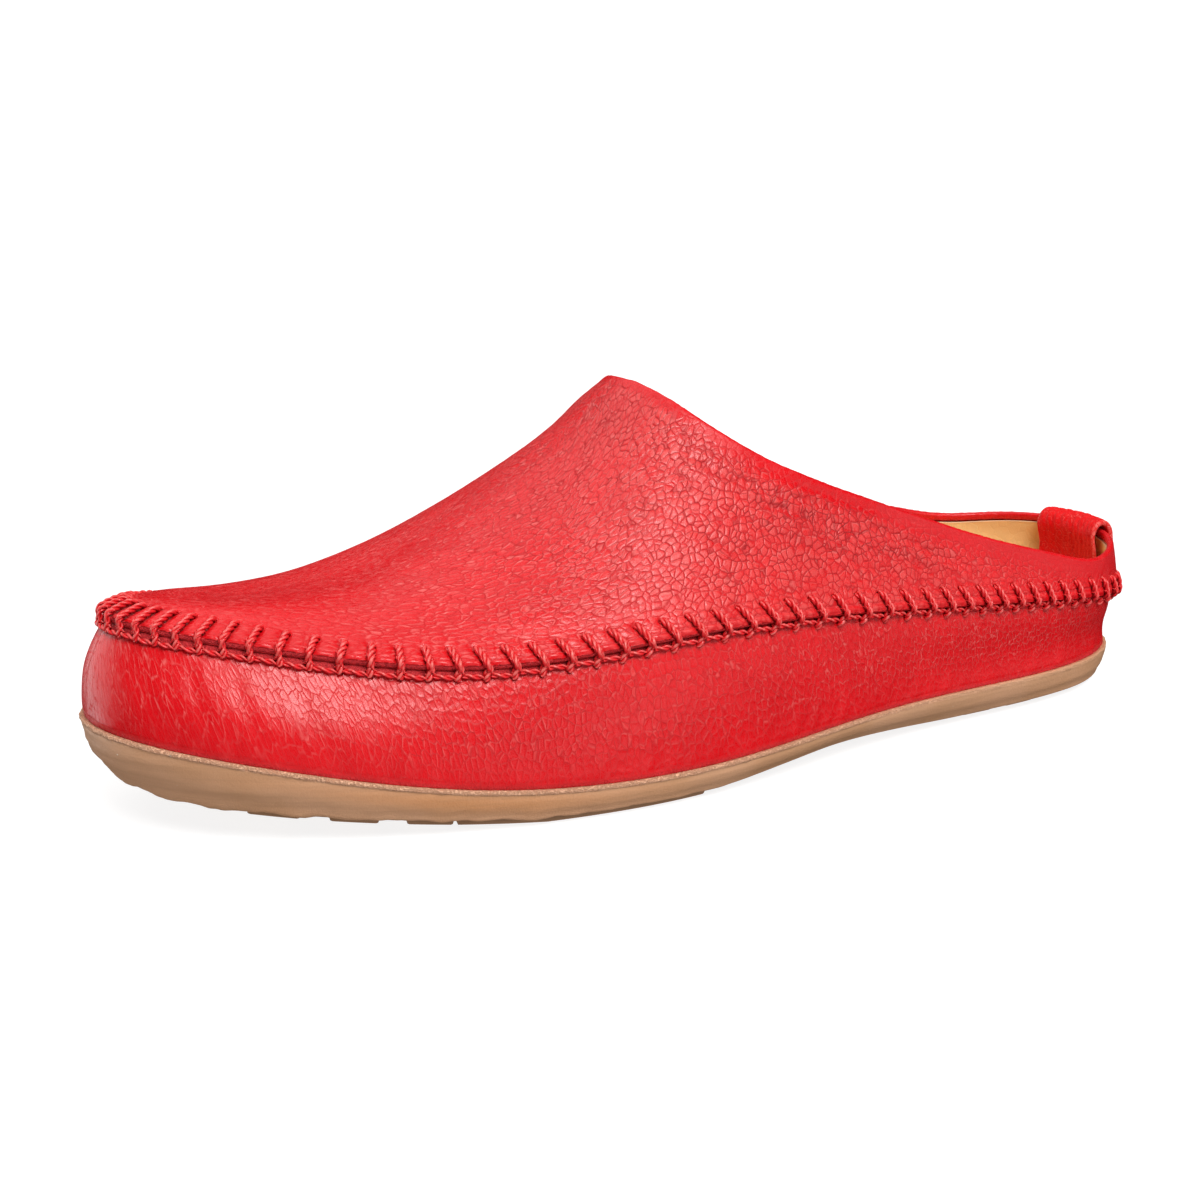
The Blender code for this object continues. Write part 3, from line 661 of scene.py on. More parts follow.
def leather(name, base, deep, pale, roughness=0.28, fine=0.009, specular=0.5):
    """Grained leather. grain_at is the place in the grain, relief the height of its pebbles.
    finish_and_shading: how pale the creases' lit banks are painted, as a painted highlight; how dark the
    creases are painted, as painted shade; and how much of the cut-fibre colour a place gets, on real cut
    edges and also as painted shade in holes, grooves and under the apron's edge.
    sheen_folds_crease: how pale the pebbles' tops are painted, as a painted highlight; how strong the folds
    are, whose lines get painted shade; and the creases' half-width."""
    look = Look(name)
    place = look.attribute("grain_at")
    pale_crease, dark_crease, raw_and_shade = look.attribute("finish_and_shading").parts()
    rubbed_and_highlight, folded, crease = look.attribute("sheen_folds_crease").parts()
    pushed = place.wandering()
    border = pushed.border()
    wide = crease * 1.7
    bank = pushed.vector("ADD", GRAIN_BANK).border().remap(0.0, wide) - border.remap(0.0, wide)
    dome = border.remap(0.0, 0.3)
    uneven = place.noise(0.6)
    strength = uneven.remap(0.35, 0.6, 0.45, 1.0)
    line = border.remap(0.0, crease, 1.0, 0.0) * strength
    x, y, z = pushed.parts()
    stretched = x.node("ShaderNodeCombineXYZ", {0: x * 0.22, 1: y * 0.4, 2: (z - x * 0.6) * 0.62})
    folds = stretched.border(1.0, 0.95).remap(0.0, 0.05, 1.0, 0.0) * folded
    micro = place.noise(5.0, 3.0, 0.65)
    fine_step = tuple(0.4 * part for part in GRAIN_BANK)
    fine_dome = pushed.border(3.3).remap(0.0, 0.3)
    fine_bank = pushed.vector("ADD", fine_step).border(3.3).remap(0.0, 0.3) - fine_dome
    fibres = place.noise(6.0, 4.0, 0.8)

    colour = place.noise(0.13).remap(0.3, 0.7).blend(base, tuple(0.92 * part for part in base))
    colour = (micro.remap(0.45, 0.75) * 0.14).blend(colour, deep)
    # Painted highlight: the pebbles' tops are painted pale, as much as the first part of sheen_folds_crease
    # says.
    colour = (dome * uneven.remap(0.3, 0.65, 0.4, 1.0) * rubbed_and_highlight).blend(colour, pale)
    # Painted light on the grain: banks that face the lamps are painted pale as a highlight; the crease lines,
    # the other banks and the fold lines are painted dark as shade.
    lit = bank * strength + fine_bank * 0.2
    shade = (line + lit * -0.6).math("MULTIPLY", dark_crease, clamp=True).math("MAXIMUM", folds, clamp=True)
    colour = shade.blend(colour, deep)
    colour = (lit * 1.5).math("MULTIPLY", pale_crease, clamp=True).blend(colour, pale)
    # Cut-fibre colour: on real cut edges, and also laid as painted shade in stitch holes, in the groove
    # behind the edge, under the apron's edge and at the collar's top edge.
    colour = raw_and_shade.blend(colour, fibres.remap(0.38, 0.66).blend(RAW_DARK, RAW_PALE))

    rough = line.math("MAXIMUM", folds).remap(0.0, 1.0, roughness, roughness + 0.6)
    rough = rough.math("ADD", raw_and_shade * 0.4, clamp=True) + micro.remap(0.3, 0.7, -0.05, 0.07)
    height = dome + line * -0.5 + folds * -2.0 + fine_dome * 0.25
    height = height * look.attribute("relief", "Fac") + micro * fine + fibres * raw_and_shade * 0.25
    return look.finish_and_shading(colour, rough, specular, height, 1.0, 1.0)


def cord_material():
    """Twisted waxed cord: fine fibres along each strand, with a painted highlight on its crown and painted
    shade between the strands.
    strand_at: x along the cord, y and z how much the place looks outwards, round its strand and with it,
    which set where that painted light and shade go."""
    look = Look("waxed_cord")
    place = look.attribute("strand_at")
    along, strand_out, cord_out = place.parts()
    fibres = ((along * 0.5 + strand_out) * (3 * math.pi)).math("SINE").remap(-1.0, 1.0, kind="LINEAR")
    wear_and_painted_light = place.noise(1.4, 3.0)
    # Painted light and shade: what faces outwards is painted light, what lies between the strands dark.
    crown = strand_out + cord_out * 0.5
    colour = crown.remap(-0.7, 0.6).blend((0.34, 0.002, 0.005), (0.82, 0.014, 0.020))
    # Painted highlight on the crowns, made patchy by the noise above.
    shine = crown.remap(0.75, 1.4) * wear_and_painted_light.remap(0.35, 0.65, 0.3, 1.0)
    colour = (shine * 0.8).blend(colour, (0.95, 0.23, 0.20))
    colour = ((1.0 - fibres) * 0.12).blend(colour, (0.42, 0.004, 0.008))
    return look.finish_and_shading(colour, 0.34, 0.5, fibres + wear_and_painted_light, 0.4, 0.04)


def gum_material():
    """Moulded gum rubber: satin side with a glossy blush, a rough paler lip and a few light specks.
    finish_and_shading: x how much of the rough lip, y how much of the glossy band, z how much painted shade
    darkens the underside and the tread."""
    look = Look("moulded_gum")
    place = look.attribute("grain_at")
    lip, glossy, wear_and_painted_light = look.attribute("finish_and_shading").parts()
    fine = place.noise(2.2, 4.0, 0.65)
    streaky = place.vector("MULTIPLY", (0.06, 0.06, 1.6)).noise(1.0)
    crust = fine.remap(0.38, 0.6)
    colour = place.noise(0.055, 3.0).remap(0.35, 0.65).blend((0.68, 0.365, 0.205), (0.62, 0.32, 0.165))
    colour = (glossy * 0.75).blend(colour, (0.66, 0.275, 0.10))
    colour = (streaky.remap(0.45, 0.62) * 0.14).blend(colour, (0.44, 0.22, 0.11))
    colour = (fine.remap(0.4, 0.7) * 0.10).blend(colour, (0.80, 0.52, 0.33))
    colour = lip.blend(colour, crust.blend((0.68, 0.32, 0.18), (0.90, 0.50, 0.31)))
    # Painted shade on the underside, deeper between the lugs than on them.
    colour = (wear_and_painted_light * 0.8).blend(colour, (0.20, 0.105, 0.055))
    colour = place.noise(0.75, 1.0).remap(0.80, 0.83).blend(colour, (0.85, 0.72, 0.58))
    rough = fine.remap(0.3, 0.7, 0.42, 0.56) + lip * 0.2 - glossy * 0.1
    return look.finish_and_shading(colour, rough, 0.45, crust * (lip + 0.12), 1.0, 0.18)


def lining_material(name, base, dark):
    """Smooth tan lining leather with faint pores; finish_and_shading x is its pale cut edge, y how much it is
    darkened by use.
    """
    look = Look(name)
    place = look.attribute("grain_at")
    edge, rubbed_and_highlight, _ = look.attribute("finish_and_shading").parts()
    pores = place.noise(2.6, 3.0, 0.7)
    wrinkles = place.border(0.35, 0.95).remap(0.0, 0.1, 1.0, 0.0)
    colour = place.noise(0.05, 3.0).remap(0.3, 0.7).blend(base, dark)
    colour = (pores.remap(0.45, 0.7) * 0.2).blend(colour, dark)
    colour = (rubbed_and_highlight * 0.5).blend(colour, tuple(0.7 * part for part in dark))
    colour = edge.blend(colour, (0.86, 0.52, 0.30))
    return look.finish_and_shading(colour, pores.remap(0.3, 0.7, 0.5, 0.64), 0.35, pores + wrinkles * -0.5, 0.7, 0.1)


def raise_grain(piece):
    """Presses the leather's crease net into the mesh, as deep as its relief attribute says."""
    tree = bpy.data.node_groups.new("grain_relief", "GeometryNodeTree")
    for direction in ("INPUT", "OUTPUT"):
        tree.interface.new_socket(name="Geometry", in_out=direction, socket_type="NodeSocketGeometry")
    geometry = Wire(tree, tree.nodes.new("NodeGroupInput").outputs[0])
    place, relief = (geometry.node("GeometryNodeInputNamedAttribute", {"Name": name}, data_type=kind)
                     for name, kind in (("grain_at", "FLOAT_VECTOR"), ("relief", "FLOAT")))
    depth = (place.wandering().border().remap(0.0, 0.3) - 1.0) * relief * MM
    normal = geometry.node("GeometryNodeInputNormal", {})
    offset = normal.node("ShaderNodeVectorMath", {0: normal, "Scale": depth}, operation="SCALE")
    moved = geometry.node("GeometryNodeSetPosition", {"Geometry": geometry, "Offset": offset})
    tree.links.new(moved.socket, tree.nodes.new("NodeGroupOutput").inputs[0])
    modifier = piece.modifiers.new("grain", "NODES")
    modifier.node_group = tree
    made = bpy.data.meshes.new_from_object(piece.evaluated_get(bpy.context.evaluated_depsgraph_get()))
    piece.modifiers.remove(modifier)
    piece.data = made


# ---------------------------------------------------------------- the upper
RIM_GRAIN = 0.02              # height of the grain on the rolled rim
RIM_GROOVE = slice(4, 6)      # rows of the rim in whose groove the cut fibres show
PEAK_SPAN = 60                # ribs on each side of the throat that its rounding looks at
WALL_GRAIN_X = 132.0          # where the wall's grain is measured from


def rib_angles(count, lower):
    """Angles evenly spaced along the outer seam, one of them exactly at the throat, and its number."""
    angles = np.interp(np.linspace(0, OUTER_RUN[-1], count + 1), OUTER_RUN, HALF)
    throat = angle_at(LENGTH * (THROAT_X + lower - SPINE_START) / (SPINE_END - SPINE_START))
    nearest = int(np.abs(angles - throat).argmin())
    angles[nearest] = throat
    return angles, nearest


def stitch_offset(s, run, x):
    """Distance along the seam to the nearest stitch, its reach, and a beat that is 1 at it and -1 midway."""
    reach = by_x(STITCH_RUN, x)
    lean = by_x(STITCH_LEAN, x) * np.where(s < OUTER_RUN[-1], 1.0, -1.0)
    foot = s - lean * np.clip(run / reach, 0, 1.2)
    count = np.interp(np.mod(foot, SEAM_LENGTH), STITCH_PLACES, STITCH_COUNTS)
    phase = np.mod(count + 0.5 - STITCH_START, 1.0) - 0.5
    return phase * by_x(STITCH_GAPS, x), reach, np.cos(2 * math.pi * phase)


def crease_depth(points, side):
    """Depth of the listed creases at points of the apron, and how near the closest of them is."""
    depth, mark = np.zeros(points.shape[:-1]), np.zeros(points.shape[:-1])
    t = np.linspace(0, 1, 25)[:, None]
    for *corners, deep, width in CREASES:
        start, halfway, end = np.reshape(corners, (3, 2))
        middle = 2 * halfway - 0.5 * (start + end)
        crease = (1 - t) ** 2 * start + 2 * t * (1 - t) * middle + t ** 2 * end
        for face, shift in ((1.0, (0.0, 0.0)), (-1.0, (-4.0, -1.6))):
            line = crease + shift
            near = (np.abs(points[..., 0] - line[:, 0].mean()) < 40) & (side * face > 0)
            gap = np.linalg.norm(points[near][:, None, (0, 2)] - line, axis=2)
            nearest = gap.argmin(axis=1)
            fade = np.sin(math.pi * (0.08 + 0.84 * t[nearest, 0]))
            gap = gap.min(axis=1)
            # a trough with a soft ridge on both sides
            depth[near] += deep * fade * (bump(gap, width) - 0.45 * bump(gap - 2.2 * width, width))
            mark[near] = np.maximum(mark[near], fade * bump(gap, 1.1))
    return depth, mark


def fair_crown(points, run):
    """Smooths the top of the vamp where the ribs of both sides meet, by way of a height map in 1 mm cells."""
    low = np.array([110.0, -62.0])
    shape = np.array((160, 124))
    spot = (points[..., :2] - low).astype(int).reshape(-1, 2)
    inside = ((spot >= 0) & (spot < shape)).all(axis=1)
    total, count = np.zeros(shape), np.zeros(shape)
    np.add.at(total, tuple(spot[inside].T), points[..., 2].reshape(-1)[inside])
    np.add.at(count, tuple(spot[inside].T), 1.0)
    kernel = bump(np.arange(-16, 17), 6.5)

    def blurred(image):
        for axis in (0, 1):
            image = np.apply_along_axis(np.convolve, axis, image, kernel, mode="same")
        return image

    filled = (count > 0).astype(float)
    height = blurred(total / np.maximum(count, 1)) / np.maximum(blurred(filled), 1e-6)
    at = np.clip(points[..., :2] - low - 0.5, 0, shape - 1.001)
    i, j = np.moveaxis(at.astype(int), -1, 0)
    u, v = np.moveaxis(at, -1, 0) - (i, j)
    smooth = ((1 - u) * (1 - v) * height[i, j] + u * (1 - v) * height[i + 1, j]
              + (1 - u) * v * height[i, j + 1] + u * v * height[i + 1, j + 1])
    inner = smooth_step((run - 7.0) / 16.0) * smooth_step((points[..., 0] - 165.0) / 35.0)
    points[..., 2] += (smooth - points[..., 2]) * inner


def apron_grid(count, lower, levels_of):
    """Ribs of the apron and collar, with the vertex numbers that join the two sides at the ridge."""
    angles, throat = rib_angles(count, lower)
    around, side = round_the_shoe(angles)
    controls = apron_curve(around, side)
    points, run = at_runs(controls, top_cut(controls, side, lower), levels_of)
    index = numbered(points)
    for rib in range(throat, count):
        index[-rib, -1] = index[rib, -1]
        points[-rib, -1] = points[rib, -1]
    fair_crown(points, run)
    return around, side, points, run, index, throat


def apron_levels(total):
    """Distances up each rib: close together near the seam, then evenly to its end."""
    near = np.broadcast_to(NEAR_SEAM, (len(total), len(NEAR_SEAM)))
    far = np.linspace(0, 1, FAR_LEVELS + 1)[1:]
    return np.concatenate([near, near[:, -1:] + (total[:, None] - near[:, -1:]) * far], axis=1)


def rim_line(index, throat):
    """Vertex numbers along the collar's edge, from the throat round the heel and back."""
    return index[[*range(-throat, 0), *range(throat)], -1]


def rim_frame(line, throat, points, normals):
    """The collar's edge as one closed line: its points, their normals and their upward directions."""
    edge, normal = points[line], normals[line]
    along = unit(np.roll(edge, -2, axis=0) - np.roll(edge, 2, axis=0))
    normal = unit(normal - along * (normal * along).sum(axis=1)[:, None])
    upward = unit(np.cross(along, normal))
    return edge, normal, upward * np.sign(upward[throat, 2])


def round_throat(flat, line):
    """Rounds the peak of the collar's edge over the instep, and eases the leather round it."""
    near = np.roll(flat[line], PEAK_SPAN, axis=0)[:2 * PEAK_SPAN + 1]
    arc = run_along(near)
    weight = bump(arc[:, None] - arc, 3.4) * np.gradient(arc)
    eased = weight @ near / weight.sum(axis=1, keepdims=True)
    shift = (eased - near) * bump(arc - arc[PEAK_SPAN], 9.0)[:, None]
    close = np.nonzero(np.linalg.norm(flat - near[PEAK_SPAN], axis=1) < 22.0)[0]
    gap = np.linalg.norm(flat[close][:, None] - near, axis=2)
    flat[close] += shift[gap.argmin(axis=1)] * bump(gap.min(axis=1), 6.0)[:, None]


def apron_grain(around, run, y):
    """Place in the grain: cells that run with the seam, long and thin over the toes, round on the instep."""
    def mean_run(angle):
        return (np.interp(angle, HALF, OUTER_RUN) + np.interp(angle, HALF, INNER_RUN)) / 2

    knots = np.linspace(0, math.pi, 400)
    reach = mean_run(knots)
    size = by_x(GRAIN_ALONG, LENGTH * fraction(knots))
    cells = np.concatenate([[0.0], np.cumsum(np.diff(reach) * 2 / (size[1:] + size[:-1]))])
    along = np.interp(mean_run(around), reach, cells)
    across = by_x(GRAIN_ACROSS, LENGTH * fraction(around))
    return triples(along[:, None], run / across[:, None], y / 7.0)


def paired(run):
    """Distances up the ribs, evened out so that those of both sides agree where they meet."""
    total = run[:, -1]
    return run * (0.5 + 0.5 * np.roll(total[::-1], 1) / total)[:, None]


def apron_lift(points, run, around, side):
    """How far the apron stands off its smooth shape, how much painted shade in the cut-fibre colour it gets
    in the stitch holes and the groove behind the edge, and how near a crease it is.
    """
    x, y = points[..., 0], points[..., 1]
    offset, reach, beat = stitch_offset(seam_run(around, side)[:, None] + 0 * run, run, x)
    between = (1 - beat) / 2
    pressed = by_x(STITCH_BED, x) * bump(offset, 0.95)
    lift = smooth_step((reach + 1.2 - run) / 1.2) * (0.20 * between * smooth_step(run) - pressed)
    crease_at = by_x(EDGE_CREASE, x) + 0.18 * beat + 0.10 * waves(points, 9.0, 15)
    edge_crease = by_x(EDGE_CREASE_DEPTH, x) * bump(run - crease_at, 0.24) * (0.35 + 0.65 * between)
    lift += 0.20 * bump(run - crease_at / 2, 0.7) * between - edge_crease - 0.22 * bump(run, 0.35)
    # the leather stands up a little round the peak of the throat
    lift += 0.8 * bump(x - 145.0, 3.5) * bump(y + 1.5, 11.0) + 0.7 * bump(x - 139.5, 3.5) * bump(y + 1.5, 6.0)
    lift -= 1.15 * bump(offset - 0.15, 0.55) * bump(run - reach, 0.5)
    crease, mark = crease_depth(points, side[:, None])
    lift -= crease * smooth_step((run - 4.5) / 3.0)
    lift += 0.16 * waves(points, 24.0, 3) * smooth_step((run - 5.0) / 5.0)
    # The stitch holes and the groove behind the edge get painted shade, in the cut-fibre colour.
    hole = np.clip(1.3 * bump(offset - 0.2, 0.6) * bump(run - reach - 0.05, 0.5) - 0.1, 0, 1)
    return lift, hole + 1.1 * edge_crease, mark


def rim_rows(edge, normal, upward):
    """The collar's leather, rolled over its edge with a fine groove on top, and tucked in inside."""
    turns = np.radians(RIM_TURNS)[None, :, None]
    radius = RIM_RADIUS - 0.2 * bump(turns - math.radians(102), 0.14)
    normal, upward = normal[:, None], upward[:, None]
    centre = edge[:, None] - normal * RIM_RADIUS
    roll = centre + radius * (np.cos(turns) * normal + np.sin(turns) * upward)
    inside = [centre - normal * (RIM_RADIUS - tuck) - upward * drop for drop, tuck in RIM_TUCKS]
    rows = np.concatenate([roll, *inside], axis=1)
    return rows + 0.05 * waves(rows * (1.0, 1.0, 0.4), 1.9, 5)[..., None] * upward


def make_apron(material):
    """Apron and collar: puffed between the stitches, with a cut edge below and a rolled rim above."""
    around, side, points, run, index, throat = apron_grid(HALF_RIBS, RIM_RISE, apron_levels)
    out = out_of(around, side)
    normals = facing(points, index, 0, out + (0, 0, 1))
    lift, raw_and_shade, mark = apron_lift(points, run, around, side)
    flat = points.reshape(-1, 3) + normals * lift.reshape(-1, 1)
    line = rim_line(index, throat)
    round_throat(flat, line)

    band = np.stack([cut_edge(around, side, share, lift) for share, lift, _ in BAND], axis=1)
    band += (0.07 * waves(band, 1.1, 11))[..., None] * out[:, None]
    rows = rim_rows(*rim_frame(line, throat, flat, normals))
    every = joined(flat, band, rows)
    whole = np.concatenate([numbered(band, len(flat)), index], axis=1)
    rim_index = np.column_stack([line, numbered(rows, len(flat) + band.size // 3)])
    faces = np.concatenate([grid_quads(whole), grid_quads(rim_index)])

    x = points[..., 0]
    away = run[:, -1:] - run
    rib = np.arange(len(run))
    ends_at_collar = np.minimum(rib, rib[::-1] + 1)[:, None] <= throat
    # Near the collar's top edge at the heel the leather is darkened as painted shade, with the cut-fibre
    # colour.
    top_edge = ends_at_collar * smooth_step((6.0 - away) / 6.0)
    calm = 1 - 0.85 * top_edge
    # Painted light on the grain: the first part of finish_and_shading paints the creases' lit banks pale as a
    # highlight, and dark paints the creases as shade, darker along the listed creases (mark).
    dark = np.maximum(by_x(APRON_DARK, x) * (0.7 + 0.3 * smooth_step((run - 4.0) / 10.0)), 0.85 * mark)
    finish_and_shading = triples(by_x(APRON_PALE, x) * calm * smooth_step(run / 2.5),
                     dark * calm * (0.4 + 0.6 * smooth_step(run / 3.5)),
                     np.clip(raw_and_shade + 0.25 * top_edge * (x < 90), 0, 1))
    # Fold lines over the instep, which the leather shader paints dark as shade.
    folded = 0.9 * bump(x - 108, 34) * bump(away - 9.5, 4.5)
    # Painted highlight on the pebbles' tops over the instep.
    rubbed_and_highlight = by_x(APRON_SHEEN, x) * smooth_step((away - 3.0) / 4.0)
    sheen_folds_crease = triples(rubbed_and_highlight, folded, by_x(GRAIN_CREASE, x) + 0.04 * mark)
    relief = by_x(GRAIN_DEPTH, x) * calm * smooth_step((run - 1.0) / 3.0)
    band_raw = np.array(BAND)[:, 2] * (0.45 + 0.55 * smooth_step((band[..., 0] - 90) / 60))
    # The rim's creases get a little painted shade; cut fibres show in its groove.
    rim_finish_and_shading = np.tile((0.0, 0.15, 0.0), (*rows.shape[:2], 1))
    rim_finish_and_shading[:, RIM_GROOVE, 2] = 0.35
    edge_relief = np.zeros(band.size // 3), np.full(rows.size // 3, RIM_GRAIN)
    stray = np.stack([waves(points, 8.0, seed) for seed in (51, 52, 53)], axis=-1) * 0.2
    main_at = apron_grain(around, paired(run), points[..., 1]) + stray
    band_at = apron_grain(around, np.linspace(-2.0, 0, len(BAND)), band[..., 1])
    rim_at = main_at.reshape(-1, 3)[line][:, None] + triples(0.0, 0.2 * np.arange(1, rows.shape[1] + 1), 0.0)
    attributes = {
        "grain_at": joined(main_at, band_at, rim_at),
        "finish_and_shading": joined(finish_and_shading, triples(0.0, 0.0, band_raw), rim_finish_and_shading),
        "sheen_folds_crease": joined(sheen_folds_crease, np.full((len(every) - run.size, 3), (0.0, 0.0, 0.1))),
        "relief": np.concatenate([relief.ravel(), *edge_relief]),
    }
    raise_grain(make_piece("apron", every, faces, material, attributes, "upper"))


def fold_depth(points, from_tip):
    """Depth of the soft folds in the toe's wall."""
    depth = np.zeros(points.shape[:-1])
    for *ends, deep, width in TOE_FOLDS:
        start, end = np.reshape(ends, (2, 2))
        fall = end - start
        for place in (from_tip, 3.5 - from_tip):
            spot = np.stack([place, points[..., 2]], axis=-1)
            share = (spot - start) @ fall / (fall @ fall)
            inside = smooth_step(share / 0.25) * smooth_step((1 - share) / 0.25)
            gap = np.linalg.norm(spot - start - np.clip(share, 0, 1)[..., None] * fall, axis=-1)
            depth += deep * inside * (bump(gap, width) - 0.5 * bump(gap - 2.1 * width, width))
    return depth


def wall_grain(points, around, side):
    """Place in the grain of the wall: upright cells that lean with the seam near the toe."""
    wide, tall, slant = (by_x(WALL_GRAIN, points[..., 0], column) for column in (1, 2, 3))
    out = outward(around, side)
    ahead = np.stack([out[:, 1], -out[:, 0]], -1) * side[:, None]
    plan = points[..., :2] - ahead[:, None] * (slant * points[..., 2])[..., None] - (WALL_GRAIN_X, 0.0)
    return np.concatenate([plan / wide[..., None], (points[..., 2] / tall)[..., None]], axis=-1)


def make_wall(material):
    """Side wall of the upper: soft folds at the toe and small puckers where it is lasted over the sole."""
    around, side = round_the_shoe(rib_angles(HALF_RIBS, RIM_RISE)[0])
    share = np.concatenate([[-0.045, -0.02], np.linspace(0, 1, WALL_LEVELS), [1.03]])
    points, run = at_runs(wall_curve(around, side), np.ones(len(around)), evenly(np.clip(share, 0, 1)))
    out = out_of(around, side)
    # below the feather line the leather turns in over the sole; above, it runs on under the apron
    for level, inset, up in ((0, 1.3, -0.7), (1, 0.25, -0.45), (-1, 1.2, 0.5)):
        points[:, level] += (0, 0, up) - out * inset
    index = numbered(points)
    normals = facing(points, index, 8, out)
    s = seam_run(around, side)[:, None] + 0 * run
    x, height = points[..., 0], points[..., 2] - points[:, 2:3, 2]
    from_top = run[:, -1:] - run
    lift = 0.10 * waves(points, 26.0, 9) - 0.4 * fold_depth(points, OUTER_RUN[-1] - s)
    lift += 0.14 * waves(triples(s, height * 0.3, 0.0), 4.2, 8) * smooth_step((8.5 - height) / 8.0)
    lift -= 0.35 * smooth_step((1.2 - height) / 1.2)
    # each stitch draws the top of the wall in a little
    lift -= 0.30 * bump(stitch_offset(s, 0 * run, x)[0], 1.3) * smooth_step((4.0 - from_top) / 3.0)
    lift *= (share > 0) & (share < 1.01)
    flat = points.reshape(-1, 3) + normals * lift.reshape(-1, 1)

    low = smooth_step((10.0 - height) / 9.0)
    # Painted shade, in the cut-fibre colour, on the top of the wall under the apron's edge.
    shaded = smooth_step((1.7 - from_top) / 0.7) * (0.15 + 0.85 * smooth_step((x - 90) / 60))
    # Pale crease banks are a painted highlight and dark creases painted shade, both weaker low on the wall;
    # the third part is the cut-fibre colour at the wall's foot and, as painted shade, under the apron's edge.
    finish_and_shading = triples(by_x(WALL_PALE, x) * (1 - 0.8 * low), by_x(WALL_DARK, x) * (1 - 0.5 * low),
                     np.maximum(0.6 * bump(height, 0.5), 0.85 * shaded))
    relief = by_x(WALL_DEPTH, x) * (1 - 0.4 * low) * smooth_step(height / 2.0) * smooth_step(from_top / 1.5)
    attributes = {
        "grain_at": joined(wall_grain(points, around, side)),
        "finish_and_shading": joined(finish_and_shading),
        "relief": relief.ravel(),
        "sheen_folds_crease": np.full((run.size, 3), (0.0, 0.0, 0.09)),
    }
    piece = make_piece("side_wall", flat, grid_quads(index), material, attributes, flip=True)
    raise_grain(piece)


def make_lining(material):
    """Lining of the whole inside, with its pale cut edge just under the collar's rim."""
    lower = RIM_RISE + RIM_INSIDE + 0.5
    around, side, points, run, index, throat = apron_grid(LINING_RIBS, lower, evenly(np.linspace(0, 1, 30)))
    out = out_of(around, side)
    normals = facing(points, index, 0, out + (0, 0, 1))
    flat = points.reshape(-1, 3)
    depth = 2 * RIM_RADIUS + 0.3 + (EDGE + WALL - APRON) * (1 - smooth_step(run / UNDERLAP))
    inner = flat - normals * depth.reshape(-1, 1)

    line = rim_line(index, throat)
    _, normal, upward = rim_frame(line, throat, flat, normals)
    lips = ((0.14, -0.06), (0.20, 0.18), (0.16, 0.5), (0.0, 0.95))
    lip = np.stack([inner[line] + upward * high + normal * back for high, back in lips], axis=1)
    lip_index = np.column_stack([line, numbered(lip, len(inner))])
    wall, _ = at_runs(wall_curve(around, side), np.ones(len(around)), evenly(np.linspace(0, 1, 12)))
    wall_index = numbered(wall)
    wall_inner = wall.reshape(-1, 3) - facing(wall, wall_index, 5, out) * (WALL + 0.1)
    every = joined(inner, lip, wall_inner)
    whole = np.concatenate([wall_index[:, :-1] + len(inner) + lip.size // 3, index], axis=1)
    faces = np.concatenate([grid_quads(whole), grid_quads(lip_index)])
    every[:, 1] += 0.12 * waves(every, 17.0, 21)
    finish_and_shading = np.zeros((len(every), 3))
    finish_and_shading[len(inner):len(inner) + lip.size // 3, 0] = np.tile((0.8, 1.0, 1.0, 0.6), len(lip))
    attributes = {"grain_at": every, "finish_and_shading": finish_and_shading}
    make_piece("lining", every, faces, material, attributes, flip=True)


# ---------------------------------------------------------------- under the foot
HEEL_X, WAIST_X, BALL_X = 36.0, 105.0, 178.0    # middles of the insole's hollows and of the rise between them


def tread_height(x):
    """Underside of the sole between its lugs: flat heel, arch, flat ball and toe spring."""
    start, end, rise = ARCH
    arch = rise * np.sin(math.pi * np.clip((x - start) / (end - start), 0, 1)) ** 2
    start, rise, power = SPRING
    spring = rise * np.clip((x - start) / (LENGTH - start), 0, 1) ** power
    return LUG + arch + spring


def ring_and_sheet(rings, sheet):
    """Faces of rings that run round the shoe and of a sheet that crosses it."""
    across = grid_quads(numbered(sheet, rings.size // 3), closed=False)
    return np.concatenate([grid_quads(numbered(rings)), across])


def make_footbed(material):
    """Leather-covered insole, hollowed a little under the heel and the ball."""
    angles = np.linspace(0, math.pi, 161)
    around, side = round_the_shoe(angles)
    base = station("feather", around) + GAP
    profile = ((-0.6, 0.5), (-0.5, FOOTBED - 0.7), (0.0, FOOTBED - 0.25), (1.0, FOOTBED),
               (2.6, FOOTBED - 0.55), (4.2, FOOTBED - 1.2))
    rings = np.stack([ring(around, side, FOOTBED_IN + inset, base + up) for inset, up in profile], axis=1)
    count = len(angles)
    outer = rings[:count, -1]
    inner = np.concatenate([rings[:1, -1], rings[count:][::-1, -1], rings[count - 1:count, -1]])
    share = np.linspace(0, 1, 41)[None, :, None]
    top = outer[:, None] + (inner - outer)[:, None] * share
    x = top[..., 0]
    hollow = 0.5 + 0.9 * bump(x - HEEL_X, 26) + 0.7 * bump(x - BALL_X, 26) - 0.3 * bump(x - WAIST_X, 30)
    top[..., 2] -= np.sin(math.pi * share[..., 0]) ** 0.7 * hollow
    every, faces = joined(rings, top), ring_and_sheet(rings, top)
    x, y, _ = every.T
    wear_and_painted_light = bump(x - HEEL_X, 24) * bump(y + 1, 18) + 0.8 * bump(x - BALL_X - 2, 24)
    attributes = {"grain_at": every, "finish_and_shading": triples(0.0, np.clip(wear_and_painted_light, 0, 1) * 0.7, 0.0)}
    make_piece("insole_cover", every, faces, material, attributes, "footbed", flip=True)


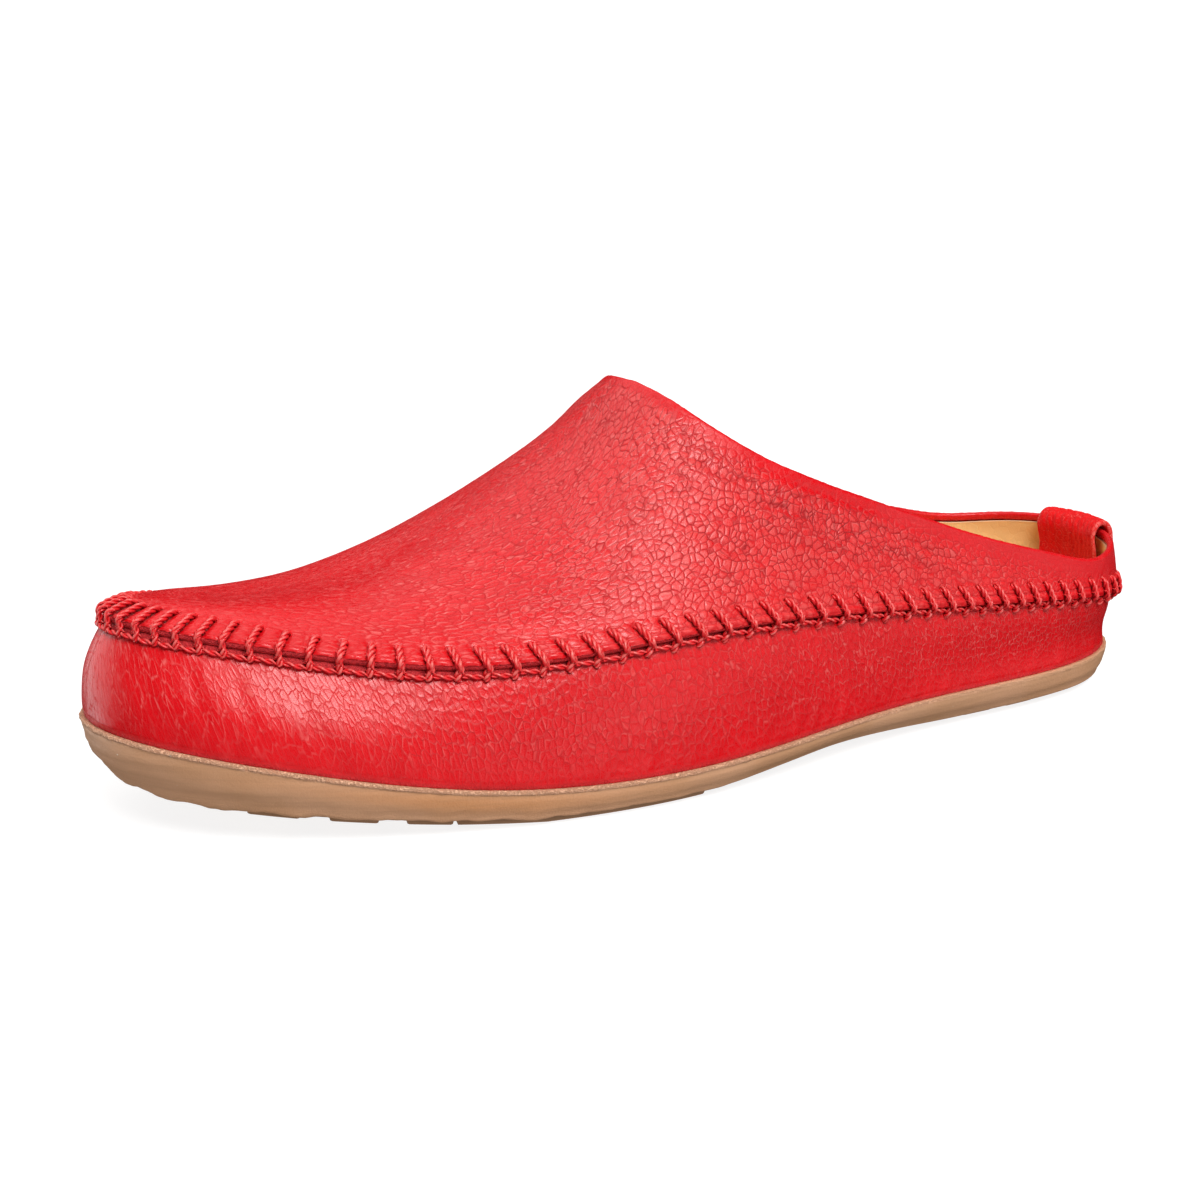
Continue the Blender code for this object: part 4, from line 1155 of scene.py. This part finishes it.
def sole_side(around, side):
    """Rings of the sole's side, from under the wall over the lip and down to the tread."""
    feather = station("feather", around)
    tread_in = station("tread_in", around)
    tread = tread_height(LENGTH * fraction(around))
    tall = feather - LIP_DEPTH - tread
    groove = smooth_step((LENGTH * fraction(around) - 60.0) / 80.0)
    pairs = ((1.6, feather - 0.3), (0.1, feather - 0.1), (-0.45, feather - 0.02), (-LIP, feather - 0.3),
             (-LIP - 0.08 * groove, feather - 0.75), (-LIP + 0.16 * groove, feather - 1.25),
             (tread_in * 0.05 - LIP + 0.2, tread + 0.8 * tall),
             (tread_in * 0.25 - LIP * 0.5, tread + 0.5 * tall),
             (tread_in * 0.6 - 0.1, tread + 0.22 * tall), (tread_in * 0.85, tread + 0.03 * tall),
             (tread_in + 0.7, tread - 0.1), (tread_in + 2.6, tread + 0.1))
    knots = np.stack([np.stack(np.broadcast_arrays(*pair), axis=-1) for pair in pairs], axis=1)
    profile = through(knots, 45)
    plan = outline(around, side)[:, None] - outward(around, side)[:, None] * profile[..., :1]
    return np.concatenate([plan, profile[..., 1:]], axis=-1)


def tread_line(x, side, inset, margins=((0.0, 0.0),)):
    """How far the tread reaches to one side at x; margins are further insets by x."""
    around = np.linspace(0.004, math.pi - 0.004, 900)
    side_of_all = np.full_like(around, side)
    line = ring(around, side_of_all, station("tread_in", around) + inset, 0.0)
    slant = np.abs(np.interp(x, line[:, 0], outward(around, side_of_all)[:, 1]))
    return np.interp(x, line[:, 0], line[:, 1]) - side * by_x(margins, x) / slant


def tread_rows():
    """Places along the sole with the height of the lug there: 1 on a lug, 0 between lugs."""
    rows = [(x, 0.0) for x in (1.7, 2.6, 4.4, *np.arange(66.0, 143.0, 4.0), 244.0, 248.0, 252.0, 256.0)]
    for first, last, count, width, _, _ in (TREAD_HEEL, TREAD_FORE):
        half = width / 2
        flank = ((half + 1.2, 0.0), (half + 0.5, 0.0), (half + 0.1, 0.9), (half - 0.3, 1.0), (half / 2, 1.0))
        for middle in np.linspace(first, last, count):
            rows.append((middle, 1.0))
            rows += [(middle + turn * away, high) for away, high in flank for turn in (-1, 1)]
    return np.array(sorted(rows))


def tread_sheet():
    """Underside of the sole: wavy lugs across the ball and heel, tied by rims along the ball."""
    rows = tread_rows()
    x = rows[:, 0]
    first_tied, last_tied, rim = TREAD_RIM
    edges = [tread_line(x, side, 0.9)[:, None] for side in (-1.0, 1.0)]
    ends = [tread_line(x, side, 0.0, TREAD_MARGIN)[:, None] for side in (-1.0, 1.0)]
    room = np.maximum(ends[1] - ends[0], 0.0)
    steps = np.array((-0.25, 0.15, 0.6, 1.7, rim - 0.2, rim + 0.2)) * np.minimum(1, room / 16)
    sides = []
    for edge, end, turn in zip(edges, ends, (1.0, -1.0)):
        near = np.where(room > 0, end, edge) + turn * steps
        sides.append(np.concatenate([edge, (edge + near[:, :1]) / 2, near], axis=1))
    low, high = sides[0][:, -1:], sides[1][:, -1:]
    between = low + (high - low) * np.linspace(0, 1, 62)[1:-1]
    y = np.concatenate([sides[0], between, sides[1][:, ::-1]], axis=1)
    share = np.clip((y - ends[0]) / np.maximum(room, 1.0), 0, 1)
    sway = np.zeros(y.shape)
    for first, last, _, _, swing, turns in (TREAD_FORE, TREAD_HEEL):
        zone = smooth_step((x - first + 11) / 6) * smooth_step((last + 11 - x) / 6)
        sway += swing * zone[:, None] * np.sin(2 * math.pi * turns * share)
    column = np.arange(y.shape[1])
    from_edge = np.minimum(column, column[::-1])
    across = np.interp(from_edge, (2, 3, 4), (0.0, 0.9, 1.0))
    tied = (from_edge >= 3) & (from_edge <= 6) & ((x > first_tied) & (x < last_tied))[:, None]
    height = np.maximum(rows[:, 1:], tied) * across
    where = x[:, None] + sway
    return np.stack([where, y, tread_height(where) - LUG * height], axis=-1), height


def make_sole(material):
    """Moulded sole: rough cemented lip, satin side, and the tread underneath."""
    around, side = round_the_shoe(np.linspace(0, math.pi, 341))
    rings = sole_side(around, side)
    level = np.arange(rings.shape[1])
    below = station("feather", around)[:, None] - rings[..., 2]
    lip = smooth_step((1.25 - below) / 0.5) * smooth_step(level / 5)
    out = out_of(around, side)[:, None]
    rings += out * (lip * 0.12 * waves(rings, 2.3, 31))[..., None]
    strata = by_x(SOLE_STRATA, rings[..., 0]) * smooth_step((below - 1.0) / 0.8)
    rings += out * (strata * waves(rings * (0.04, 0.04, 1.0), 1.5, 32))[..., None]
    rings += out * (0.10 * waves(rings, 21.0, 33) * (1 - lip))[..., None]
    foot = smooth_step((level - 20) / 18.0) * smooth_step((rings[..., 0] - 120.0) / 60.0)
    rings[..., 2] += foot * (0.22 * waves(rings, 8.0, 34) + 0.08 * waves(rings, 3.0, 35))
    sheet, lug = tread_sheet()
    every, faces = joined(rings, sheet), ring_and_sheet(rings, sheet)
    lip = lip * (0.25 + 0.75 * smooth_step((rings[..., 0] - 40.0) / 70.0))
    glossy = bump(rings[..., 0] - 200, 34) * bump(below - 3.0, 2.4) * (1 - lip)
    # The underside is painted dark as shade, deeper between the lugs than on them.
    underside = smooth_step((level - len(level) + 8) / 6)
    finish_and_shading = joined(triples(lip, glossy, 0.35 * underside), triples(0.0, 0.0, 0.95 - 0.45 * lug))
    attributes = {"grain_at": every, "finish_and_shading": finish_and_shading}
    make_piece("sole", every, faces, material, attributes, "outsole", flip=True)


# ---------------------------------------------------------------- pull loop
LOOP_COLUMNS = 84
LOOP_EASE = (1 / 16, 4 / 16, 6 / 16, 4 / 16, 1 / 16)    # weights that even out neighbouring columns
LOOP_FOLD = 22                # step of its path at which the band is folded
LOOP_RIB = 2.2                # from one rib of the fold to the next


def collar_section(y):
    """The back of the collar at one y: x and height of its outer face, seam to top line."""
    around = np.linspace(0, 1.1, 120)
    side = np.full_like(around, 1.0 if y > AXIS_HEEL_Y else -1.0)
    controls = apron_curve(around, side)
    ribs = bezier(controls, top_cut(controls, side)[:, None] * np.linspace(0, 1, 24))
    nearest = np.abs(ribs[:, :, 1] - y).argmin(axis=0)
    line = ribs[nearest, np.arange(24)]
    return line[:, 0], line[:, 2]


def loop_path(y):
    """Middle line of the pull loop at one y: up the inside, over the rim, down the outside."""
    x_line, z_line = collar_section(y)
    rim = z_line[-1]
    turn_at = rim - LOOP_TURN
    heel_radius = station("outer_breadth", 0.0) ** 2 / (LENGTH / 2)
    slant = 1 / math.sqrt(1 - ((y - AXIS_HEEL_Y) / heel_radius) ** 2)
    stand = (LOOP_CLEAR + LOOP_LEATHER / 2) * slant

    def outer_x(z):
        return np.interp(z, z_line, x_line)

    def inner_x(z):
        underlap = 1 - smooth_step((z - z_line[0]) / UNDERLAP)
        slack = LOOP_SLACK * smooth_step((z - LOOP_INNER_END) / (rim - LOOP_INNER_END))
        return outer_x(z) + (APRON + (EDGE + WALL - APRON) * underlap) * slant + stand + slack

    front, back = inner_x(turn_at), outer_x(turn_at) - stand
    rise = LOOP_TOP - LOOP_LEATHER / 2 - turn_at
    turn = np.linspace(0, math.pi, 27)[1:-1]
    up = np.linspace(LOOP_INNER_END, turn_at, 16)
    down = np.linspace(turn_at, LOOP_OUTER_END, 12)
    over = (front + back) / 2 + (front - back) / 2 * np.cos(turn)
    return np.column_stack([np.concatenate([inner_x(up), over, outer_x(down) - stand]),
                            np.concatenate([up, turn_at + rise * np.sin(turn), down])])


def make_loop(material):
    """Leather band over the back of the collar, ribbed where it is folded, with paler round cut edges, partly
    in their own colour and partly by a painted highlight.
    """
    places = LOOP_Y + LOOP_WIDTH * np.linspace(-0.5, 0.5, LOOP_COLUMNS)
    paths = np.stack([loop_path(y) for y in places])
    for _ in range(3):
        padded = np.concatenate([paths[:2], paths, paths[-2:]])
        paths = sum(share * padded[first:first + LOOP_COLUMNS] for first, share in enumerate(LOOP_EASE))
    along = unit(np.gradient(paths, axis=1))
    across = np.stack([-along[..., 1], along[..., 0]], axis=-1)
    level = np.arange(paths.shape[1])
    width = places[:, None]
    fold = bump(level - LOOP_FOLD, LOOP_FOLD / 2)
    ribbed = 0.20 * np.sin(2 * math.pi * (width / LOOP_RIB + 0.25 * np.sin(0.35 * level)))
    ribbed = fold * (ribbed + 0.14 * waves(triples(width, level * 0.4, 0.0), 3.1, 41))
    thick = LOOP_LEATHER / 2

    def face(plan, y):
        return triples(plan[..., 0], y, plan[..., 1])

    def rounded(column, sign, turns):
        """Lines of points round the cut edge at the band's first or last column."""
        return [face(paths[column] + across[column] * thick * math.sin(turn),
                     places[column] + sign * thick * 0.8 * math.cos(turn)) for turn in turns]

    turns = np.radians((60, 30, 0, -30, -60))
    front = face(paths + across * thick, width)
    back = face(paths - across * (thick + ribbed)[..., None], width)
    section = np.stack([*front, *rounded(-1, 1.0, turns), *back[::-1], *rounded(0, -1.0, -turns)])
    is_edge = np.zeros((len(section), 1))
    is_edge[LOOP_COLUMNS:LOOP_COLUMNS + len(turns)] = 1.0
    is_edge[-len(turns):] = 1.0
    every = joined(section)
    flat_finish = np.zeros(section.shape[:2])
    # The cut edges get paler crease banks and pebble tops, a painted highlight, and the whole band a little
    # painted shade in its creases.
    attributes = {
        "grain_at": every / 1.1,
        "finish_and_shading": joined(triples(flat_finish + 0.25 + 0.7 * is_edge, 0.3, 0.0)),
        "sheen_folds_crease": joined(triples(flat_finish + 0.55 * is_edge, 0.0, 0.1)),
    }
    faces = grid_quads(numbered(section))
    make_piece("loop_band", every, faces, material, attributes, "pull_loop")


# ---------------------------------------------------------------- stitching
BAR_KNOTS = (    # share of the way to the next tie, distance below the edge, and lift
    (0.04, 1.35, -0.3), (0.16, 1.15, 0.55), (0.38, 0.95, 0.75), (0.64, 0.85, 0.75), (0.86, 0.75, 0.55),
    (0.97, 0.75, -0.2),
)


def twisted(name, material, paths, upward, radius, plies=3, sides=6, pitch=CORD_PITCH, phase=0.0):
    """Piece of cords, each of a few plies twisted together; radius is the whole cord's along its path."""
    along = unit(np.gradient(paths, axis=1))
    across = unit(np.cross(along, upward[:, None]))
    out = np.cross(across, along)
    length = run_along(paths)
    radius = (np.broadcast_to(radius, length.shape) * 0.52)[..., None]
    points, places = [], []
    for ply in range(plies):
        turn = 2 * math.pi * (length / pitch + ply / plies) + np.reshape(phase, (-1, 1))
        middle = paths + radius * (np.cos(turn)[..., None] * out + np.sin(turn)[..., None] * across)
        for corner in 2 * math.pi * np.arange(sides) / sides:
            points.append(middle + radius * (math.cos(corner) * out + math.sin(corner) * across))
            places.append(triples(length, math.cos(corner), np.cos(turn)))
    points, places = (np.reshape(rings, (plies, sides, *paths.shape)).transpose(0, 2, 1, 3, 4)
                      for rings in (points, places))
    strands = np.arange(points.size // 3).reshape(-1, sides, paths.shape[1])
    faces = np.concatenate([grid_quads(strand) for strand in strands])
    make_piece(name, joined(points), faces, material, {"strand_at": joined(places)})


def seam_up(s):
    """Direction out of the seam, between the apron's normal and the wall's."""
    angle, side = seam_place(s)
    lean = lean_at(angle)
    return step(outward(angle, side), np.sin(np.maximum(lean, 0.7)), np.cos(np.minimum(lean, 1.2)))


def tapered(steps, ends, middle, sharp):
    """Radius along a cord: thin at both ends and full between them."""
    t = np.linspace(0, 1, steps)
    return ends + (middle - ends) * smooth_step(t / sharp) * smooth_step((1 - t) / sharp)


def stitch_places():
    """Distance round the seam of every stitch, and of the next one."""
    counts = np.arange(STITCHES + 1) + STITCH_START
    laps = (counts >= STITCHES) * 1.0
    places = np.interp(counts - laps * STITCHES, STITCH_COUNTS, STITCH_PLACES) + laps * SEAM_LENGTH
    return places[:-1], places[1:]


def make_stitches(material):
    """Blanket stitching: a twisted tie from each hole over the edge, a bar of cord that lies along the wall
    from one tie to the next, and thin strands that cross the tie at the edge's corner."""
    draw = np.random.default_rng(7)
    s, ahead = stitch_places()
    angle, side = seam_place(s)
    x = seam_edge(angle, side)[:, 0]
    reach, size = by_x(STITCH_RUN, x), by_x(CORD, x)
    lean, hook = by_x(STITCH_LEAN, x) * side, by_x(STITCH_HOOK, x) * side
    wobble = draw.normal(size=(STITCHES, 4)) * (0.08, 0.10, 0.10, 0.04)
    low = s - 0.25 * lean

    knots = [
        on_apron(s + lean * 1.04, reach + 0.15, -0.95),
        on_apron(s + lean * 0.97 + wobble[:, 0], reach - 0.15, -0.1),
        on_apron(s + lean * 0.80, 0.80 * reach, 0.42 + wobble[:, 3]),
        on_apron(s + lean * 0.50 + wobble[:, 1], 0.50 * reach, 0.50),
        on_apron(s + lean * 0.20, 0.22 * reach, 0.52),
        (on_apron(s, 0.1, 0.45) + corner_at(s, 1.0, 0.5)) / 2,
        corner_at(low + 0.2 * hook, 0.45, 0.55),
        on_wall(low + 0.6 * hook, 0.55, 0.85),
        on_wall(low + hook, 1.5, 0.45),
        on_wall(low + 1.1 * hook, 1.9, -0.4),
    ]
    twisted("stitch_ties", material, through(np.stack(knots, axis=1), 50), seam_up(s),
            tapered(50, 0.22, 1.0, 0.07) * size[:, None], phase=draw.random(STITCHES) * 2 * math.pi)

    sunk = 0.7 * (smooth_step((x - 165.0) / 60.0) - 0.6 * smooth_step((140.0 - x) / 60.0))
    knots = [on_wall(low + (ahead - s) * share + hook * 0.8,
                     drop + sunk + wobble[:, 2] * math.sin(math.pi * share), lift)
             for share, drop, lift in BAR_KNOTS]
    twisted("stitch_bars", material, through(np.stack(knots, axis=1), 26), seam_up((s + ahead) / 2),
            tapered(26, 0.2, BAR, 0.38), plies=2, sides=8, pitch=5.0, phase=1.2 + 0.5 * draw.random(STITCHES))

    strands = [np.stack([
        on_apron(s + lean * 0.3 + 0.85 * turn, 1.35, -0.1),
        on_apron(s + lean * 0.2 + 0.75 * turn, 0.95, 0.8),
        (on_apron(s + 0.2 * turn, 0.2, 1.1) + corner_at(s + 0.2 * turn, 1.0, 1.1)) / 2,
        corner_at(low - 0.4 * turn + 0.2 * hook, 0.45, 1.2),
        corner_at(low - 0.9 * turn + 0.4 * hook, 0.0, 1.0),
        on_wall(low - 0.9 * turn + 0.7 * hook, 0.9, 0.2),
    ], axis=1) for turn in (1.0, -1.0)]
    twisted("stitch_hitches", material, through(np.concatenate(strands), 22), np.tile(seam_up(s), (2, 1)),
            tapered(22, 0.15, 0.42, 0.2) * np.tile(size, 2)[:, None] ** 1.5, plies=2, sides=5, pitch=1.8)


# ---------------------------------------------------------------- stage
CAMERA_TARGET = (132.5, 0.0, 35.0)
CAMERA_TURN = 29.5            # degrees from straight at the shoe's outer side, round towards the toe
CAMERA_RAISE = 13.9
CAMERA_ROLL = -0.31
CAMERA_DISTANCE = 499.0
CAMERA_SLIDE = (11.7, 2.7)    # the view's centre is this far left of and below the target
CAMERA_LENS = 64.29
STAGE_REACH = 2.4             # metres from the shoe to where the floor starts to rise
STAGE_BEND = 1.6              # radius of the sweep, in metres
STAGE_SINK = 0.0001           # the floor lies this much, in metres, under the shoe
STAGE_SIDES = 96
STAGE_COLOUR = (0.3, 0.3, 0.3, 1.0)
STAGE_GLOW = 0.85             # the table is lit through from below as well, so that shadows stay faint
WORLD_LIGHT = 0.10
WHITE = (1.0, 1.0, 1.0, 1.0)
# Name, azimuth, height, spread in degrees, strength, seen in reflections. The table's own bounce is
# left to the lamp that shines up from under it, because the leather must not mirror a white table.
LAMPS = (
    ("key", 80.0, 50.0, 30.0, 2.15, True),
    ("heel_key", 115.0, 48.0, 35.0, 0.65, True),
    ("top", -70.0, 65.0, 60.0, 0.8, True),
    ("heel", 147.0, 5.0, 40.0, 0.16, True),
    ("low", 110.0, 0.0, 30.0, 0.25, True),
    ("toe", -50.0, 3.0, 60.0, 1.3, True),
    ("back", -120.0, 50.0, 90.0, 0.55, False),
    ("table", 70.0, -40.0, 100.0, 1.05, False),
)


def add_object(name, data):
    made = bpy.data.objects.new(name, data)
    bpy.context.scene.collection.objects.link(made)
    return made


def make_camera():
    turn, rise, roll = (math.radians(value) for value in (CAMERA_TURN, CAMERA_RAISE, CAMERA_ROLL))
    back = np.array([math.sin(turn) * math.cos(rise), math.cos(turn) * math.cos(rise), math.sin(rise)])
    right = np.array([-math.cos(turn), math.sin(turn), 0.0])
    up = np.cross(back, right)
    right, up = (right * math.cos(roll) + up * math.sin(roll), up * math.cos(roll) - right * math.sin(roll))
    place = np.array(CAMERA_TARGET) + back * CAMERA_DISTANCE - right * CAMERA_SLIDE[0] - up * CAMERA_SLIDE[1]
    data = bpy.data.cameras.new("camera")
    data.lens = CAMERA_LENS
    data.sensor_width = 36.0
    camera = add_object("camera", data)
    pose = np.eye(4)
    pose[:3] = np.column_stack([right, up, back, to_row(place)])
    camera.matrix_world = Matrix(pose.tolist())
    bpy.context.scene.camera = camera


def make_light(name, turn, rise, spread, strength, glossy):
    """Wide soft lamp, far off; turn is its azimuth and rise its height above the floor, in degrees."""
    data = bpy.data.lights.new(name, "SUN")
    data.energy = strength
    data.angle = math.radians(spread)
    lamp = add_object(name, data)
    turn, rise = math.radians(turn), math.radians(rise)
    away = Vector((math.cos(turn) * math.cos(rise), math.sin(turn) * math.cos(rise), math.sin(rise)))
    lamp.rotation_euler = away.to_track_quat("Z", "Y").to_euler()
    lamp.location = away
    lamp.visible_glossy = glossy


def make_backdrop(name, profile, material):
    """Ring of the studio sweep round the shoe, from rows of radius and height in metres."""
    turns = np.linspace(0, 2 * math.pi, STAGE_SIDES, endpoint=False)
    points = np.array([[(radius * math.cos(turn), radius * math.sin(turn), height)
                        for radius, height in profile] for turn in turns])
    mesh = bpy.data.meshes.new(name)
    mesh.from_pydata(joined(points).tolist(), [], grid_quads(numbered(points))[:, ::-1].tolist())
    mesh.shade_smooth()
    mesh.materials.append(material)
    piece = add_object(name, mesh)
    piece.visible_shadow = False
    piece.visible_diffuse = False
    piece.visible_glossy = False


def make_stage():
    look = Look("pale_floor")
    plug(look.tree, look.shader, {"Base Color": STAGE_COLOUR, "Roughness": 0.9, "Specular IOR Level": 0.0,
                                  "Emission Color": WHITE, "Emission Strength": STAGE_GLOW})
    make_backdrop("floor", [(reach, -STAGE_SINK) for reach in (0.001, 0.6, STAGE_REACH)], look.material)
    bend = np.radians(np.linspace(0, 80, 17))
    sweep = [(STAGE_REACH + STAGE_BEND * math.sin(turn), STAGE_BEND * (1 - math.cos(turn)) - STAGE_SINK)
             for turn in bend]
    make_backdrop("backdrop", sweep, look.material)
    world = bpy.data.worlds.new("soft_white")
    world.use_nodes = True
    plug(world.node_tree, world.node_tree.nodes["Background"], {0: WHITE, 1: WORLD_LIGHT})
    world.cycles_visibility.glossy = False
    bpy.context.scene.world = world
    for lamp in LAMPS:
        make_light(*lamp)
    bpy.context.scene.view_settings.view_transform = "Standard"


def main():
    # Each leather's colours are base, deep and pale: deep is used for random mottling and for the painted
    # shade in creases and folds, pale for the painted highlights.
    make_apron(leather("apron_hide", (0.80, 0.004, 0.009), (0.34, 0.001, 0.004), (0.92, 0.22, 0.20)))
    make_wall(leather("wall_hide", (0.79, 0.004, 0.009), (0.36, 0.001, 0.004), (0.92, 0.20, 0.18)))
    make_lining(lining_material("tan_lining", (0.96, 0.63, 0.27), (0.92, 0.56, 0.22)))
    make_footbed(lining_material("insole_hide", (0.80, 0.44, 0.165), (0.70, 0.36, 0.12)))
    make_sole(gum_material())
    make_loop(leather("loop_hide", (0.84, 0.003, 0.005), (0.40, 0.002, 0.004), (1.0, 0.30, 0.26),
                      roughness=0.5, fine=0.02, specular=0.15))
    make_stitches(cord_material())
    make_stage()
    make_camera()


main()
